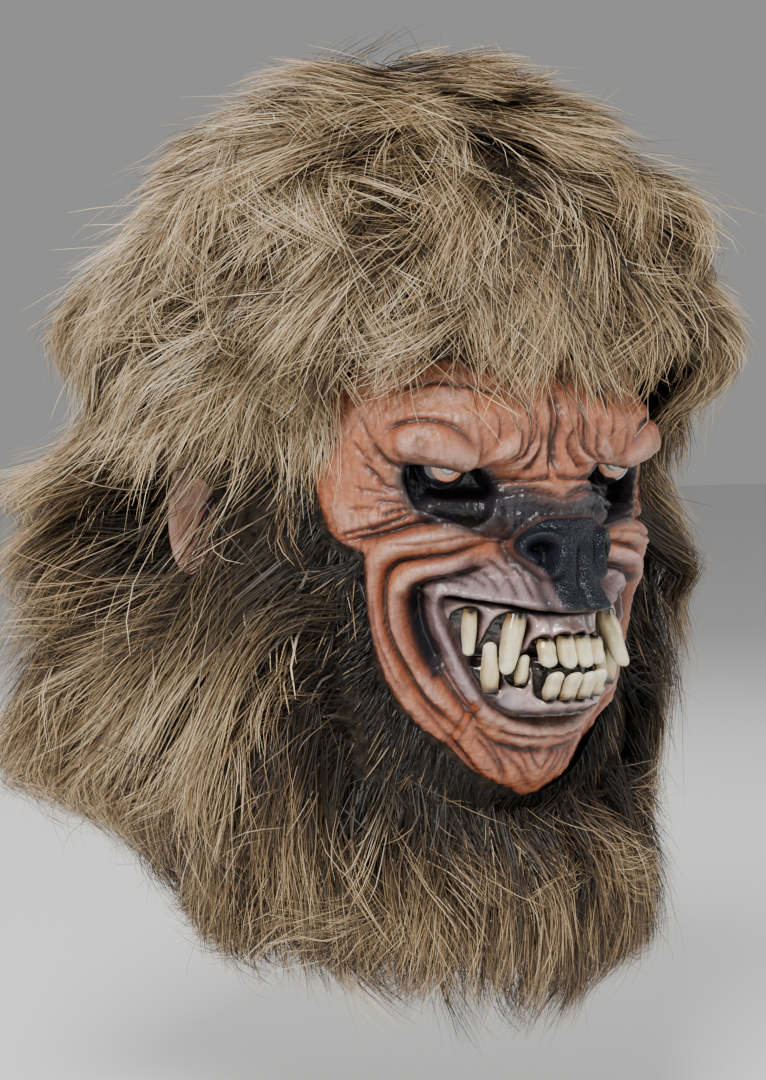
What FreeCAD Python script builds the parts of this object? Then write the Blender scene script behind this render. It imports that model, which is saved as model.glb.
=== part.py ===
import FreeCAD, Part
import math
import os

# An over-the-head werewolf mask of slush-cast latex with glued-on long-pile fur.
# Millimetres.  +Z is up, the face looks along -Y, and +X is the wearer's left.
# The origin is the centre of the neck opening, in the plane of its rim.

V = FreeCAD.Vector

# ---------------------------------------------------------------- driving dimensions
LATEX = 3.0              # wall of the cast skin
CLEAR = 0.4              # glue line between neighbouring pieces
PILE_CLEAR = 3.0         # fur backing stands off the latex by this much
PANEL_GAP = 1.6          # butt joint between two fur panels
SKULL_TOP = 317.0        # top of the latex skull
FUR_TOP = 371.0          # top of the crown hair
BEARD_LOW = -53.0        # tips of the beard
JOWL_LOW = -30.0         # tips of the cheek fur
SIDE_LOW = 2.0           # tips of the side fur
NAPE_LOW = 28.0          # tips of the nape fur
CROWN_SEAM = 238.0       # hairline, and the seam under the crown panel
BEARD_TOP = 46.0         # the beard starts just under the chin
BEARD_TO = 24.0          # half angle of the beard panel, degrees from straight ahead
CHEEK_TO = 81.0          # back edge of the cheek panels
SIDE_TO = 128.0          # back edge of the side panels
EYE_X, EYE_Y, EYE_Z = 44.0, -88.0, 189.5
EYE_R = 11.5
SLIT_X, SLIT_Z = 39.0, 172.8
SLIT_WIDTH, SLIT_HEIGHT = 22.0, 6.4
NOSTRIL_X, NOSTRIL_Z, NOSTRIL_R = 12.5, 157.0, 3.4
ARCH_FRONT = 117.0       # front of the gum arch on the centre line
ARCH_CURVE = 60.0        # the arch falls back by x^2 / ARCH_CURVE
GUM_DEPTH = 11.0
ROOT_SINK = 0.8          # how far the back of each tooth is let into the line of the gum
EAR_X, EAR_Y, EAR_Z = 90.0, 12.0, 172.0

# ---------------------------------------------------------------- section tables
# Plain head: height, half width, front depth, back depth, squareness of the front.
HEAD = [
    (0.0, 86.0, 70.0, 86.0, 2.1),
    (25.0, 80.0, 68.0, 84.0, 2.1),
    (50.0, 76.0, 76.0, 84.0, 2.1),
    (75.0, 76.0, 86.0, 88.0, 2.2),
    (100.0, 78.0, 92.0, 94.0, 2.3),
    (130.0, 82.0, 96.0, 102.0, 2.5),
    (160.0, 87.0, 98.0, 108.0, 2.8),
    (190.0, 89.0, 100.0, 112.0, 2.9),
    (215.0, 90.0, 99.0, 113.0, 2.7),
    (240.0, 88.0, 94.0, 111.0, 2.4),
    (265.0, 82.0, 84.0, 104.0, 2.2),
    (285.0, 71.0, 71.0, 92.0, 2.1),
    (300.0, 56.0, 55.0, 73.0, 2.0),
    (310.0, 40.0, 38.0, 50.0, 2.0),
    (SKULL_TOP, 18.0, 17.0, 22.0, 2.0),
]
# Profile of the face on its centre line: height, distance in front of the axis.
PROFILE = [
    (38.0, 72.0),
    (50.0, 88.0),
    (58.0, 97.0),
    (70.0, 100.0),
    (84.0, 108.0),
    (100.0, 117.0),
    (118.0, 123.0),
    (134.0, 125.0),
    (150.0, 126.0),
    (160.0, 126.0),
    (168.0, 121.0),
    (176.0, 112.0),
    (187.0, 106.0),
    (198.0, 104.0),
    (210.0, 107.0),
    (225.0, 104.0),
    (240.0, 96.0),
]
# Hair envelope: height, half width, front depth, back depth, squareness of the back.
PILE = [
    (BEARD_LOW, 92.0, 86.0, 84.0, 2.2),
    (-20.0, 110.0, 98.0, 104.0, 2.2),
    (7.0, 120.0, 103.0, 122.0, 2.4),
    (29.0, 130.0, 105.0, 142.0, 2.6),
    (52.0, 138.0, 105.0, 158.0, 2.8),
    (96.0, 146.0, 103.0, 167.0, 2.8),
    (142.0, 146.0, 101.0, 165.0, 2.8),
    (180.0, 149.0, 103.0, 157.0, 2.6),
    (205.0, 154.0, 109.0, 148.0, 2.4),
    (228.0, 158.0, 115.0, 140.0, 2.2),
    (250.0, 158.0, 116.0, 135.0, 2.1),
    (272.0, 152.0, 112.0, 128.0, 2.0),
    (297.0, 140.0, 102.0, 116.0, 2.0),
    (319.0, 117.0, 86.0, 99.0, 2.0),
    (332.0, 104.0, 77.0, 89.0, 2.0),
    (344.0, 88.0, 66.0, 76.0, 2.0),
    (354.0, 71.0, 54.0, 63.0, 2.0),
    (362.0, 53.0, 41.0, 48.0, 2.0),
    (368.0, 33.0, 26.0, 31.0, 2.0),
    (FUR_TOP, 14.0, 12.0, 14.0, 2.0),
]
# Edge of the bare face: height, angle from straight ahead at which the fur begins, in degrees.
FACE_EDGE = [
    (JOWL_LOW, 25.0),
    (60.0, 25.0),
    (74.0, 30.0),
    (101.0, 42.5),
    (136.0, 46.0),
    (150.0, 48.0),
    (158.0, 56.0),
    (177.0, 60.0),
    (190.0, 60.5),
    (205.0, 58.0),
    (222.0, 52.0),
    (CROWN_SEAM, 42.0),
]
# Edge of the mouth opening, right half, from the middle of the upper lip round to the lower lip.
MOUTH_EDGE = [
    (0.0, 133.0),
    (28.0, 134.0),
    (46.0, 138.0),
    (52.0, 134.0),
    (53.0, 122.0),
    (47.0, 104.0),
    (34.0, 90.0),
    (18.0, 85.0),
    (0.0, 84.0),
]

# ---------------------------------------------------------------- small helpers


def table(rows, z):
    """Columns of a section table at height z, eased between its rows."""
    if z <= rows[0][0]:
        return rows[0][1:]
    for low, high in zip(rows, rows[1:]):
        if z <= high[0]:
            t = (z - low[0]) / (high[0] - low[0])
            t = t * t * (3.0 - 2.0 * t) * 0.4 + t * 0.6
            return tuple(a + (b - a) * t for a, b in zip(low[1:], high[1:]))
    return rows[-1][1:]


def bump(value, centre, width):
    return math.exp(-0.5 * ((value - centre) / width) ** 2)


def squared(angle, half, deep, power):
    """Radius of a superellipse at an angle from the Y axis."""
    s = abs(math.sin(angle)) / half
    c = abs(math.cos(angle)) / deep
    return (s ** power + c ** power) ** (-1.0 / power)


def head_radius(angle, z):
    """Outer radius of the latex at an angle from straight ahead, in radians."""
    half, front, back, power = table(HEAD, z)
    if math.cos(angle) < 0.0:
        return squared(angle, half, back, 2.1)
    radius = squared(angle, half, front, power)
    degrees = abs(math.degrees(angle))
    if PROFILE[0][0] < z < PROFILE[-1][0]:
        lift = max(table(PROFILE, z)[0] - front, 0.0)
        narrow = 12.0 if z < 176.0 else 9.0
        radius += lift * (0.74 * bump(degrees, 0.0, narrow) + 0.26 * bump(degrees, 0.0, 25.0))
    # brow ridge over the eyes and hollow sockets below it
    radius += 10.0 * bump(z, 208.0, 8.0) * bump(degrees, 24.0, 13.0)
    radius -= 9.0 * bump(z, 184.0, 9.0) * bump(degrees, 23.0, 8.0)
    return radius


def closed_wire(radius_at, z, points=60):
    """A smooth closed curve at height z; radius_at takes the angle from straight ahead."""
    places = []
    for k in range(points):
        angle = 2.0 * math.pi * k / points + math.pi
        if angle > math.pi:
            angle -= 2.0 * math.pi
        r = radius_at(angle)
        places.append(V(r * math.sin(angle), -r * math.cos(angle), z))
    even = [k / points for k in range(points + 1)]
    curve = Part.BSplineCurve()
    curve.interpolate(Points=places, PeriodicFlag=True, Parameters=even)
    return Part.Wire(curve.toShape())


def head_solid(offset, heights):
    """The plain head grown by offset, between the first and last of the heights."""
    wires = []
    for z in heights:
        wires.append(closed_wire(lambda angle: head_radius(angle, z) + offset, z))
    return Part.makeLoft(wires, True, False)


def outline_prism(half_outline, y0, y1):
    """A left-right symmetric outline in XZ, run from y0 to y1."""
    right = [V(x, y0, z) for x, z in half_outline]
    left = [V(-p.x, y0, p.z) for p in reversed(right[1:-1])]
    curve = Part.BSplineCurve()
    curve.interpolate(right + left, PeriodicFlag=True)
    return Part.Face(Part.Wire(curve.toShape())).extrude(V(0, y1 - y0, 0))


def box(x0, x1, y0, y1, z0, z1):
    return Part.makeBox(x1 - x0, y1 - y0, z1 - z0, V(x0, y0, z0))


def mirrored(shape):
    return shape.mirror(V(0, 0, 0), V(1, 0, 0))


def ellipsoid(centre, rx, ry, rz):
    ball = Part.makeSphere(1.0)
    matrix = FreeCAD.Matrix()
    matrix.scale(rx, ry, rz)
    shape = ball.transformGeometry(matrix)
    shape.translate(centre)
    return shape


def arch_front(x):
    return ARCH_FRONT - x * x / ARCH_CURVE


def arch_slab(front_offset, back_offset, z0, z1, half_width=60.0):
    """A band that follows the dental arch, from back_offset to front_offset ahead of the gum."""
    steps = [-1.0, -0.66, -0.33, 0.0, 0.33, 0.66, 1.0]
    front = [V(s * half_width, -arch_front(s * half_width) - front_offset, z0) for s in steps]
    back = [V(s * half_width, -arch_front(s * half_width) - back_offset, z0) for s in reversed(steps)]
    edges = []
    for run in (front, back):
        curve = Part.BSplineCurve()
        curve.interpolate(run)
        edges.append(curve.toShape())
    edges.append(Part.makeLine(front[-1], back[0]))
    edges.append(Part.makeLine(back[-1], front[0]))
    face = Part.Face(Part.Wire(Part.__sortEdges__(edges)))
    return face.extrude(V(0, 0, z1 - z0))


# ---------------------------------------------------------------- latex skin
FACE_HEIGHTS = [0, 12, 25, 38, 46, 54, 62, 72, 84, 96, 108, 120, 132, 142, 150, 158, 165, 171, 177, 183,
                190, 197, 204, 211, 218, 228, 240, 253, 265, 276, 285, 293, 300, 306, 311, 315, SKULL_TOP]


def skin_cutters():
    """Everything that pierces the skin: mouth, eyes, vision slits and nostrils."""
    cutters = [outline_prism(MOUTH_EDGE, -140.0, -55.0)]
    for side in (-1.0, 1.0):
        eye = V(side * EYE_X, EYE_Y, EYE_Z)
        cutters.append(Part.makeSphere(EYE_R + CLEAR, eye))
        slit = box(-SLIT_WIDTH / 2, SLIT_WIDTH / 2, -125.0, -60.0, -SLIT_HEIGHT / 2, SLIT_HEIGHT / 2)
        slit = slit.makeFillet(SLIT_HEIGHT / 2 - 0.2, [e for e in slit.Edges if abs(e.tangentAt(0).y) > 0.9])
        slit.translate(V(side * SLIT_X, 0.0, SLIT_Z))
        cutters.append(slit)
        nostril = Part.makeCylinder(NOSTRIL_R, 50.0, V(side * NOSTRIL_X, -140.0, NOSTRIL_Z), V(0, 1, 0))
        cutters.append(nostril)
    return cutters


def latex_head_skin():
    outer = head_solid(0.0, FACE_HEIGHTS)
    inner_heights = [-1.0] + FACE_HEIGHTS[1:-3] + [SKULL_TOP - LATEX - 3.5]
    inner = head_solid(-LATEX, inner_heights)
    return outer.cut(inner).cut(Part.makeCompound(skin_cutters()))


# ---------------------------------------------------------------- eyes, gums and teeth


def eye(side):
    """A glossy dome: a ball cut off flat behind."""
    ball = Part.makeSphere(EYE_R, V(side * EYE_X, EYE_Y, EYE_Z))
    keep = box(side * EYE_X - 20, side * EYE_X + 20, EYE_Y - 20, EYE_Y + 5, EYE_Z - 20, EYE_Z + 20)
    return ball.common(keep)


def gum(z0, z1):
    """The part of the mouth opening between two heights, as a bar that follows the arch."""
    opening = [(x * 0.985, 109.0 + (z - 109.0) * 0.97) for x, z in MOUTH_EDGE]
    plug = outline_prism(opening, -140.0, -55.0)
    return arch_slab(0.0, -GUM_DEPTH, z0, z1, 56.0).common(plug)


def tooth(x, root_z, tip_z, width, depth, tip, lean=0.0, curl=0.0):
    """One tapered tooth on the front of the gum; tip is how much of its width is left at the end,
    lean shifts the tip sideways and curl brings it forward."""
    sections = 5
    swelling = 0.3
    wires = []
    for k in range(sections):
        t = k / (sections - 1.0)
        scale = 0.94 + swelling * t - (0.94 + swelling - tip) * t * t
        z = root_z + (tip_z - root_z) * t
        cx = x + lean * t
        cy = -arch_front(x) - 0.5 * depth + ROOT_SINK - curl * t * t
        radii = sorted((0.5 * width * scale, 0.5 * depth * scale))
        edge = Part.Ellipse(V(cx, cy, z), radii[1], radii[0]).toShape()
        if depth > width:
            edge.rotate(V(cx, cy, z), V(0, 0, 1), 90)
        wires.append(Part.Wire(edge))
    body = Part.makeLoft(wires, True, False)
    low, high = sorted((root_z, tip_z))
    arch = arch_slab(CLEAR / 2, -30.0, low - 5.0, high + 5.0)
    return body.cut(arch)


# ---------------------------------------------------------------- ears


def ear(side):
    """A cupped shell standing out from the side of the head."""
    shell = ellipsoid(V(EAR_X + 8.0, EAR_Y, EAR_Z), 13.0, 19.0, 32.0)
    cup = ellipsoid(V(EAR_X + 18.0, EAR_Y - 5.0, EAR_Z + 3.0), 13.0, 14.0, 24.0)
    shape = shell.cut(cup).cut(head_solid(CLEAR, FACE_HEIGHTS))
    if len(shape.Solids) > 1:
        shape = max(shape.Solids, key=lambda s: s.Volume)
    return shape if side > 0 else mirrored(shape)


# ---------------------------------------------------------------- fur


def pile_radius(angle, z):
    """Radius of the outside of the hair at an angle from straight ahead."""
    half, front, back, power = table(PILE, z)
    if math.cos(angle) < 0.0:
        return squared(angle, half, back, power)
    return squared(angle, half, front, 2.0)


def arc_curve(radius_at, start, end, z, points=13):
    """A smooth open curve at height z between two angles in degrees."""
    places = []
    for k in range(points):
        angle = math.radians(start + (end - start) * k / (points - 1.0))
        r = radius_at(angle, z)
        places.append(V(r * math.sin(angle), -r * math.cos(angle), z))
    even = [k / (points - 1.0) for k in range(points)]
    curve = Part.BSplineCurve()
    curve.interpolate(Points=places, Parameters=even)
    return curve.toShape(), places[0], places[-1]


def fur_sector(heights, start_at, end):
    """A panel between two angles: backing on the head, pile out to the envelope."""
    wires = []
    for z in heights:
        start = start_at(z)
        outer, o0, o1 = arc_curve(pile_radius, start, end, z)
        inner, i0, i1 = arc_curve(lambda a, h: head_radius(a, h) + PILE_CLEAR, start, end, z)
        sides = [Part.makeLine(o1, i1), Part.makeLine(i0, o0)]
        wires.append(Part.Wire([outer, sides[0], inner, sides[1]]))
    return Part.makeLoft(wires, True, True)


def heights_between(low, high):
    """Section heights from low to high, on the skin's own sections where there are any."""
    steps = [-40.0, -27.0, -18.0, -9.0] + [float(z) for z in FACE_HEIGHTS]
    return [low] + [z for z in steps if low + 3.0 < z < high - 3.0] + [high]


def crown_fur():
    """Everything above the crown seam, closed over the top of the skull."""
    heights = [row[0] for row in PILE if row[0] > CROWN_SEAM + 4.0]
    wires = []
    for z in [CROWN_SEAM + PANEL_GAP] + heights:
        wires.append(closed_wire(lambda angle: pile_radius(angle, z), z))
    pile = Part.makeLoft(wires, True, False)
    head = head_solid(PILE_CLEAR, FACE_HEIGHTS)
    cap = ellipsoid(V(0.0, 2.0, SKULL_TOP - 3.0), 25.0, 28.0, 7.0)
    return pile.cut(head).cut(cap)


def face_edge(z):
    """Angle in degrees at which the bare face ends and the fur begins."""
    return table(FACE_EDGE, z)[0]


def fur_panels():
    """The panels that are glued on, each named as it is worn."""
    nape_heights = heights_between(NAPE_LOW, CROWN_SEAM)
    panels = {
        "crown_fur": crown_fur(),
        "nape_fur": fur_sector(nape_heights, lambda z: SIDE_TO + 1.0, 360.0 - SIDE_TO - 1.0),
        "beard_fur": fur_sector(heights_between(BEARD_LOW, BEARD_TOP), lambda z: -BEARD_TO, BEARD_TO),
    }
    cheek = fur_sector(heights_between(JOWL_LOW, CROWN_SEAM), face_edge, CHEEK_TO)
    side = fur_sector(heights_between(SIDE_LOW, CROWN_SEAM), lambda z: CHEEK_TO + 1.0, SIDE_TO)
    side = side.cut(ellipsoid(V(EAR_X + 8.0, EAR_Y, EAR_Z), 14.0, 20.0, 33.0))
    for name, shape in (("cheek_fur", cheek), ("side_fur", side)):
        panels["left_" + name] = shape
        panels["right_" + name] = mirrored(shape)
    return panels


# ---------------------------------------------------------------- the assembly


def mask_parts():
    parts = {"latex_head_skin": latex_head_skin()}
    for name, s in (("left", 1.0), ("right", -1.0)):
        parts[name + "_ear"] = ear(s)
        parts[name + "_eye"] = eye(s)
        parts["upper_canine_" + name] = tooth(s * 28.0, 132.2, 105.0, 10.8, 9.0, 0.16, s * 1.5, 3.0)
        parts["upper_premolar_" + name] = tooth(s * 38.5, 131.5, 113.0, 6.8, 6.5, 0.25, s * 1.0)
        parts["lower_tusk_" + name] = tooth(s * 34.0, 98.0, 120.0, 6.6, 7.0, 0.25, s * 0.3)
        parts["lower_small_tooth_" + name] = tooth(s * 20.8, 102.0, 114.0, 5.0, 5.0, 0.4)
    parts["upper_gum"] = gum(110.0, 140.0)
    parts["lower_gum"] = gum(80.0, 110.0 - CLEAR)
    uppers = [tooth(x, 123.0, 108.2, 8.4, 7.0, 0.62) for x in (-13.9, -4.7, 4.7, 13.9)]
    lowers = [tooth(x, 95.0, 107.4, 7.4, 6.4, 0.62) for x in (-12.2, -4.1, 4.1, 12.2)]
    parts["upper_incisors"] = Part.makeCompound(uppers)
    parts["lower_incisors"] = Part.makeCompound(lowers)
    parts.update(fur_panels())
    return parts


def main():
    os.makedirs("parts", exist_ok=True)
    for name, shape in mask_parts().items():
        solids = shape.Solids
        print(name, "solids", len(solids), "valid", shape.isValid(), "cm3", round(shape.Volume / 1000.0, 2))
        if len(solids) == 1:
            shape = solids[0]
        shape.exportStep("parts/" + name + ".step")


main()
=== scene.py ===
import math
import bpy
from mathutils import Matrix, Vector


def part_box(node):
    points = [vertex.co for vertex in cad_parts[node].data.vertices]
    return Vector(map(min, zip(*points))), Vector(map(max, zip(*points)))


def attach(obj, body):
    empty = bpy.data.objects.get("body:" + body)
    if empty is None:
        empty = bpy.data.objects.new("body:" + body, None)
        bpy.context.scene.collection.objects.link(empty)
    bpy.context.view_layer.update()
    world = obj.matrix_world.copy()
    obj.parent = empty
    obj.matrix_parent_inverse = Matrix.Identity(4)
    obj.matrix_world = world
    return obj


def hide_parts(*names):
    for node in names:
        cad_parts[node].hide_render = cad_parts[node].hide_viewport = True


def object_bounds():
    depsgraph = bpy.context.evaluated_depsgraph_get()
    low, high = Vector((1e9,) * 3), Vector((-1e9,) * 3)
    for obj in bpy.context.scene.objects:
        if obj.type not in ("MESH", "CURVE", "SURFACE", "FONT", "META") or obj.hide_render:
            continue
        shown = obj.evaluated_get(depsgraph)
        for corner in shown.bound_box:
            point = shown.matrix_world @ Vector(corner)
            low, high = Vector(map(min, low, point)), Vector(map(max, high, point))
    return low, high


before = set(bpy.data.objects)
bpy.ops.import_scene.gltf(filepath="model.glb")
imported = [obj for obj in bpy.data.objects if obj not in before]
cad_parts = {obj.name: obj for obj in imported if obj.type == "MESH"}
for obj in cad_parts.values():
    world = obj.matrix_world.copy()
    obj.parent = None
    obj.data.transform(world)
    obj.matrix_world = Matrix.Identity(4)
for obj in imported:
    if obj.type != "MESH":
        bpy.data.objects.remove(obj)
from types import SimpleNamespace

import bpy
import numpy as np
from mathutils import Vector

CAD_LOW, CAD_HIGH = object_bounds()
MM = 0.001

# A werewolf mask: painted latex face, glossy eyes, gums and teeth, and long-pile fur over the skull,
# cheeks and chin.  Shapes are worked out in millimetres in the frame of the CAD and scaled once.
# The face looks along -Y; angles on the head are in degrees from straight ahead, negative on the
# wearer's right.
SIDES = (("right", -1.0), ("left", 1.0))

# Sections of the plain head: height, half width, front depth, back depth, squareness of the front.
HEAD = np.array([
    (0, 86, 70, 86, 2.1), (25, 80, 68, 84, 2.1), (50, 76, 76, 84, 2.1), (75, 76, 86, 88, 2.2),
    (100, 78, 92, 94, 2.3), (130, 82, 96, 102, 2.5), (160, 87, 98, 108, 2.8), (190, 89, 100, 112, 2.9),
    (215, 90, 99, 113, 2.7), (240, 88, 94, 111, 2.4), (265, 82, 84, 104, 2.2), (285, 71, 71, 92, 2.1),
    (300, 56, 55, 73, 2.0), (310, 40, 38, 50, 2.0), (317, 18, 17, 22, 2.0),
])
HEAD_BACK_SQUARENESS = 2.1
# Profile of the face on its centre line: height, distance in front of the axis.
PROFILE = np.array([
    (38, 72), (50, 88), (58, 97), (70, 100), (84, 108), (100, 117), (118, 123), (134, 125), (150, 126),
    (160, 126), (168, 121), (176, 112), (187, 106), (198, 104), (210, 107), (225, 104), (240, 96),
], float)
# Envelope of the hair: height, half width, front depth, back depth, squareness of the back.
PILE = np.array([
    (-53, 92, 86, 84, 2.2), (-20, 110, 98, 104, 2.2), (7, 120, 103, 122, 2.4), (29, 130, 105, 142, 2.6),
    (52, 138, 105, 158, 2.8), (96, 146, 103, 167, 2.8), (142, 146, 101, 165, 2.8),
    (180, 149, 103, 157, 2.6), (205, 154, 109, 148, 2.4), (228, 158, 115, 140, 2.2),
    (250, 158, 116, 135, 2.1), (272, 152, 112, 128, 2.0), (297, 140, 102, 116, 2.0),
    (319, 117, 86, 99, 2.0), (332, 104, 77, 89, 2.0), (344, 88, 66, 76, 2.0), (354, 71, 54, 63, 2.0),
    (362, 53, 41, 48, 2.0), (368, 33, 26, 31, 2.0), (371, 14, 12, 14, 2.0),
])
PILE_FRONT_SQUARENESS = 2.0
# Edge of the bare face on the wearer's right, angle and height: from the temple down to the chin, and
# from the brow back to the temple.
SEAM = [(-60.5, 190), (-58, 175.6), (-54.2, 160.8), (-49, 156), (-45.4, 152.9), (-44.5, 140.4),
        (-42.6, 113.1), (-39.8, 98.6), (-31.7, 79.8), (-24, 70.7), (-17.9, 60.6), (-6.6, 51.6), (0, 48)]
TEMPLE = [(-42, 240), (-52, 222), (-58, 205)]
FACE = SEAM + [(20, 48), (20, 246), (-20, 246)] + TEMPLE


# ---------------------------------------------------------------- plain head
def bump(value, centre, width):
    return np.exp(-0.5 * ((value - centre) / width) ** 2)


def smooth(low, high, value):
    """0 below low, 1 above high, eased between."""
    t = np.clip((value - low) / (high - low), 0.0, 1.0)
    return t * t * (3.0 - 2.0 * t)


def band(value, low, full, fading, gone):
    """Rises from low to full, and falls again from fading to gone."""
    return smooth(low, full, value) * (1.0 - smooth(fading, gone, value))


def wrapped(degrees):
    """The same angle between -180 and 180."""
    return (degrees + 180.0) % 360.0 - 180.0


def unit(vectors):
    return vectors / np.maximum(np.linalg.norm(vectors, axis=-1), 1e-6)[..., None]


def smoothed_table(rows, reach=9, softness=3.5):
    """A section table resampled every millimetre and smoothed, so that no row shows as a kink."""
    z = np.arange(rows[0, 0], rows[-1, 0] + 0.5, 1.0)
    columns = [np.interp(z, rows[:, 0], column) for column in rows.T[1:]]
    kernel = np.exp(-0.5 * (np.arange(-reach, reach + 1) / softness) ** 2)
    kernel /= kernel.sum()
    return z, [np.convolve(np.pad(column, reach, mode="edge"), kernel, mode="valid") for column in columns]


HEAD_Z, HEAD_COLUMNS = smoothed_table(HEAD)
PROFILE_Z, PROFILE_COLUMNS = smoothed_table(PROFILE)
PILE_Z, PILE_COLUMNS = smoothed_table(PILE)


def oval(angle, half, deep, power):
    """Radius of a squared oval at an angle."""
    s = np.abs(np.sin(angle)) / half
    c = np.abs(np.cos(angle)) / deep
    return (s ** power + c ** power) ** (-1.0 / power)


def head_radius(degrees, z):
    """Radius of the latex head, without its folds, at an angle and a height."""
    angle = np.radians(degrees)
    half, front, back, power = [np.interp(z, HEAD_Z, column) for column in HEAD_COLUMNS]
    ahead = np.cos(angle) >= 0.0
    radius = oval(angle, half, np.where(ahead, front, back), np.where(ahead, power, HEAD_BACK_SQUARENESS))
    turn = np.abs(degrees)
    lift = np.maximum(np.interp(z, PROFILE_Z, PROFILE_COLUMNS[0]) - front, 0.0)
    lift = lift * ahead * smooth(36.0, 44.0, z) * (1.0 - smooth(232.0, 246.0, z))
    narrow = 12.0 - 3.0 * smooth(166.0, 186.0, z)
    radius = radius + lift * (0.74 * bump(turn, 0.0, narrow) + 0.26 * bump(turn, 0.0, 25.0))
    brow = 10.0 * bump(z, 208.0, 8.0) * bump(turn, 24.0, 13.0)
    hollow = 9.0 * bump(z, 184.0, 9.0) * bump(turn, 23.0, 8.0)
    return radius + ahead * brow - ahead * hollow


def placed(radius, degrees, z):
    """Points at a radius from the axis, an angle and a height."""
    angle = np.radians(degrees)
    return np.stack([radius * np.sin(angle), -radius * np.cos(angle), z], -1)


def on_head(degrees, z, lift=0.0):
    """Points on the plain head, in millimetres, lift outside it."""
    degrees = np.asarray(degrees, float)
    z = np.asarray(z, float)
    return placed(head_radius(degrees, z) + lift, degrees, z)


# ---------------------------------------------------------------- meshes
def add_object(name, data):
    made = bpy.data.objects.new(name, data)
    bpy.context.scene.collection.objects.link(made)
    return made


def raw_mesh(name, points, faces):
    """An object from points in metres and faces that all have the same number of corners."""
    corners = faces.shape[1]
    mesh = bpy.data.meshes.new(name)
    mesh.vertices.add(len(points))
    mesh.vertices.foreach_set("co", points.ravel())
    mesh.loops.add(faces.size)
    mesh.loops.foreach_set("vertex_index", faces.ravel())
    mesh.polygons.add(len(faces))
    mesh.polygons.foreach_set("loop_start", np.arange(0, faces.size, corners, dtype=np.int32))
    mesh.polygons.foreach_set("loop_total", np.full(len(faces), corners, np.int32))
    mesh.update(calc_edges=True)
    mesh.polygons.foreach_set("use_smooth", np.ones(len(faces), bool))
    return add_object(name, mesh)


def mesh_object(name, points_mm, faces):
    made = raw_mesh(name, np.asarray(points_mm, np.float32) * MM, np.asarray(faces, np.int32))
    made.data.validate()
    return made


def grid_faces(rows, columns, wrap=False):
    """Quads of a grid of points stored row by row; wrap joins the last column to the first."""
    r = np.arange(rows - 1)[:, None]
    c = np.arange(columns if wrap else columns - 1)[None, :]
    n = (c + 1) % columns
    quads = np.stack([r * columns + c, r * columns + n, (r + 1) * columns + n, (r + 1) * columns + c], -1)
    return quads.reshape(-1, 4)


def paint(obj, name, values):
    """Stores one value or colour per vertex for the materials to read."""
    values = np.asarray(values, np.float32)
    if values.ndim == 1:
        obj.data.attributes.new(name, "FLOAT", "POINT").data.foreach_set("value", values)
        return
    full = np.ones((len(values), 4), np.float32)
    full[:, :3] = values
    obj.data.attributes.new(name, "FLOAT_COLOR", "POINT").data.foreach_set("color", full.ravel())


def blend(colour, over, amount):
    """Paints one colour over another, by an amount per point."""
    return colour + (np.asarray(over) - colour) * np.clip(amount, 0.0, 1.0)[:, None]


def layered(ground, count, *coats):
    """Coats of paint over a plain ground: each coat is its colour and its amount per point."""
    colour = np.tile(np.array(ground), (count, 1))
    for over, amount in coats:
        colour = blend(colour, over, amount)
    return colour


# ---------------------------------------------------------------- sculpting tools
FAR = 1e9


def spline(points, spacing=1.5):
    """A smooth run through given points (Catmull-Rom), resampled evenly."""
    p = np.asarray(points, float)
    p = np.vstack([2 * p[0] - p[1], p, 2 * p[-1] - p[-2]])
    out = []
    for a, b, c, d in zip(p, p[1:], p[2:], p[3:]):
        steps = max(int(np.linalg.norm(c - b) / spacing), 2)
        t = np.linspace(0.0, 1.0, steps, endpoint=False)[:, None]
        out.append(0.5 * (2 * b + (c - a) * t + (2 * a - 5 * b + 4 * c - d) * t ** 2
                          + (3 * b - a - 3 * c + d) * t ** 3))
    out.append(p[-2][None, :])
    return np.vstack(out)


def to_segment(points, a, b):
    """Distance from each point to a straight segment, and how far along it the nearest place is."""
    ab = b - a
    t = np.clip((points - a) @ ab / max(ab @ ab, 1e-9), 0.0, 1.0)
    return np.linalg.norm(points - (a + t[:, None] * ab), axis=1), t


def distance_to_run(points, run):
    """Distance from each point to a run of points, and how far along the run it is, 0 to 1."""
    best = np.full(len(points), FAR)
    where = np.zeros(len(points))
    count = len(run) - 1
    for k in range(count):
        distance, t = to_segment(points, run[k], run[k + 1])
        closer = distance < best
        best = np.where(closer, distance, best)
        where = np.where(closer, (k + t) / count, where)
    return best, where


def signed_distance(places, polygon):
    """Distance to the edge of a closed polygon in the plane, negative inside."""
    inside = np.zeros(len(places), bool)
    best = np.full(len(places), FAR)
    for a, b in zip(polygon, np.roll(polygon, -1, axis=0)):
        best = np.minimum(best, to_segment(places, a, b)[0])
        crosses = (a[1] > places[:, 1]) != (b[1] > places[:, 1])
        with np.errstate(divide="ignore", invalid="ignore"):
            x_at = (b[0] - a[0]) * (places[:, 1] - a[1]) / (b[1] - a[1]) + a[0]
        inside ^= crosses & (places[:, 0] < x_at)
    return np.where(inside, -best, best)


def fractal(points, scale, octaves=3, seed=0):
    """Cheap smooth noise between about -1 and 1, from sums of skewed sines."""
    local = np.random.default_rng(seed)
    total = np.zeros(len(points))
    weight = 0.0
    for octave in range(octaves):
        for _ in range(5):
            direction = local.normal(size=3)
            direction /= np.linalg.norm(direction)
            phase = local.uniform(0.0, 2.0 * math.pi)
            frequency = 2.0 * math.pi * 2.0 ** octave / scale * local.uniform(0.7, 1.3)
            warp = 0.8 * np.sin(points @ local.normal(size=3) * frequency * 0.6)
            total += np.sin(points @ direction * frequency + phase + warp) / 2.0 ** octave
        weight += 5 ** 0.5 / 2.0 ** octave
    return total / weight


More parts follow.
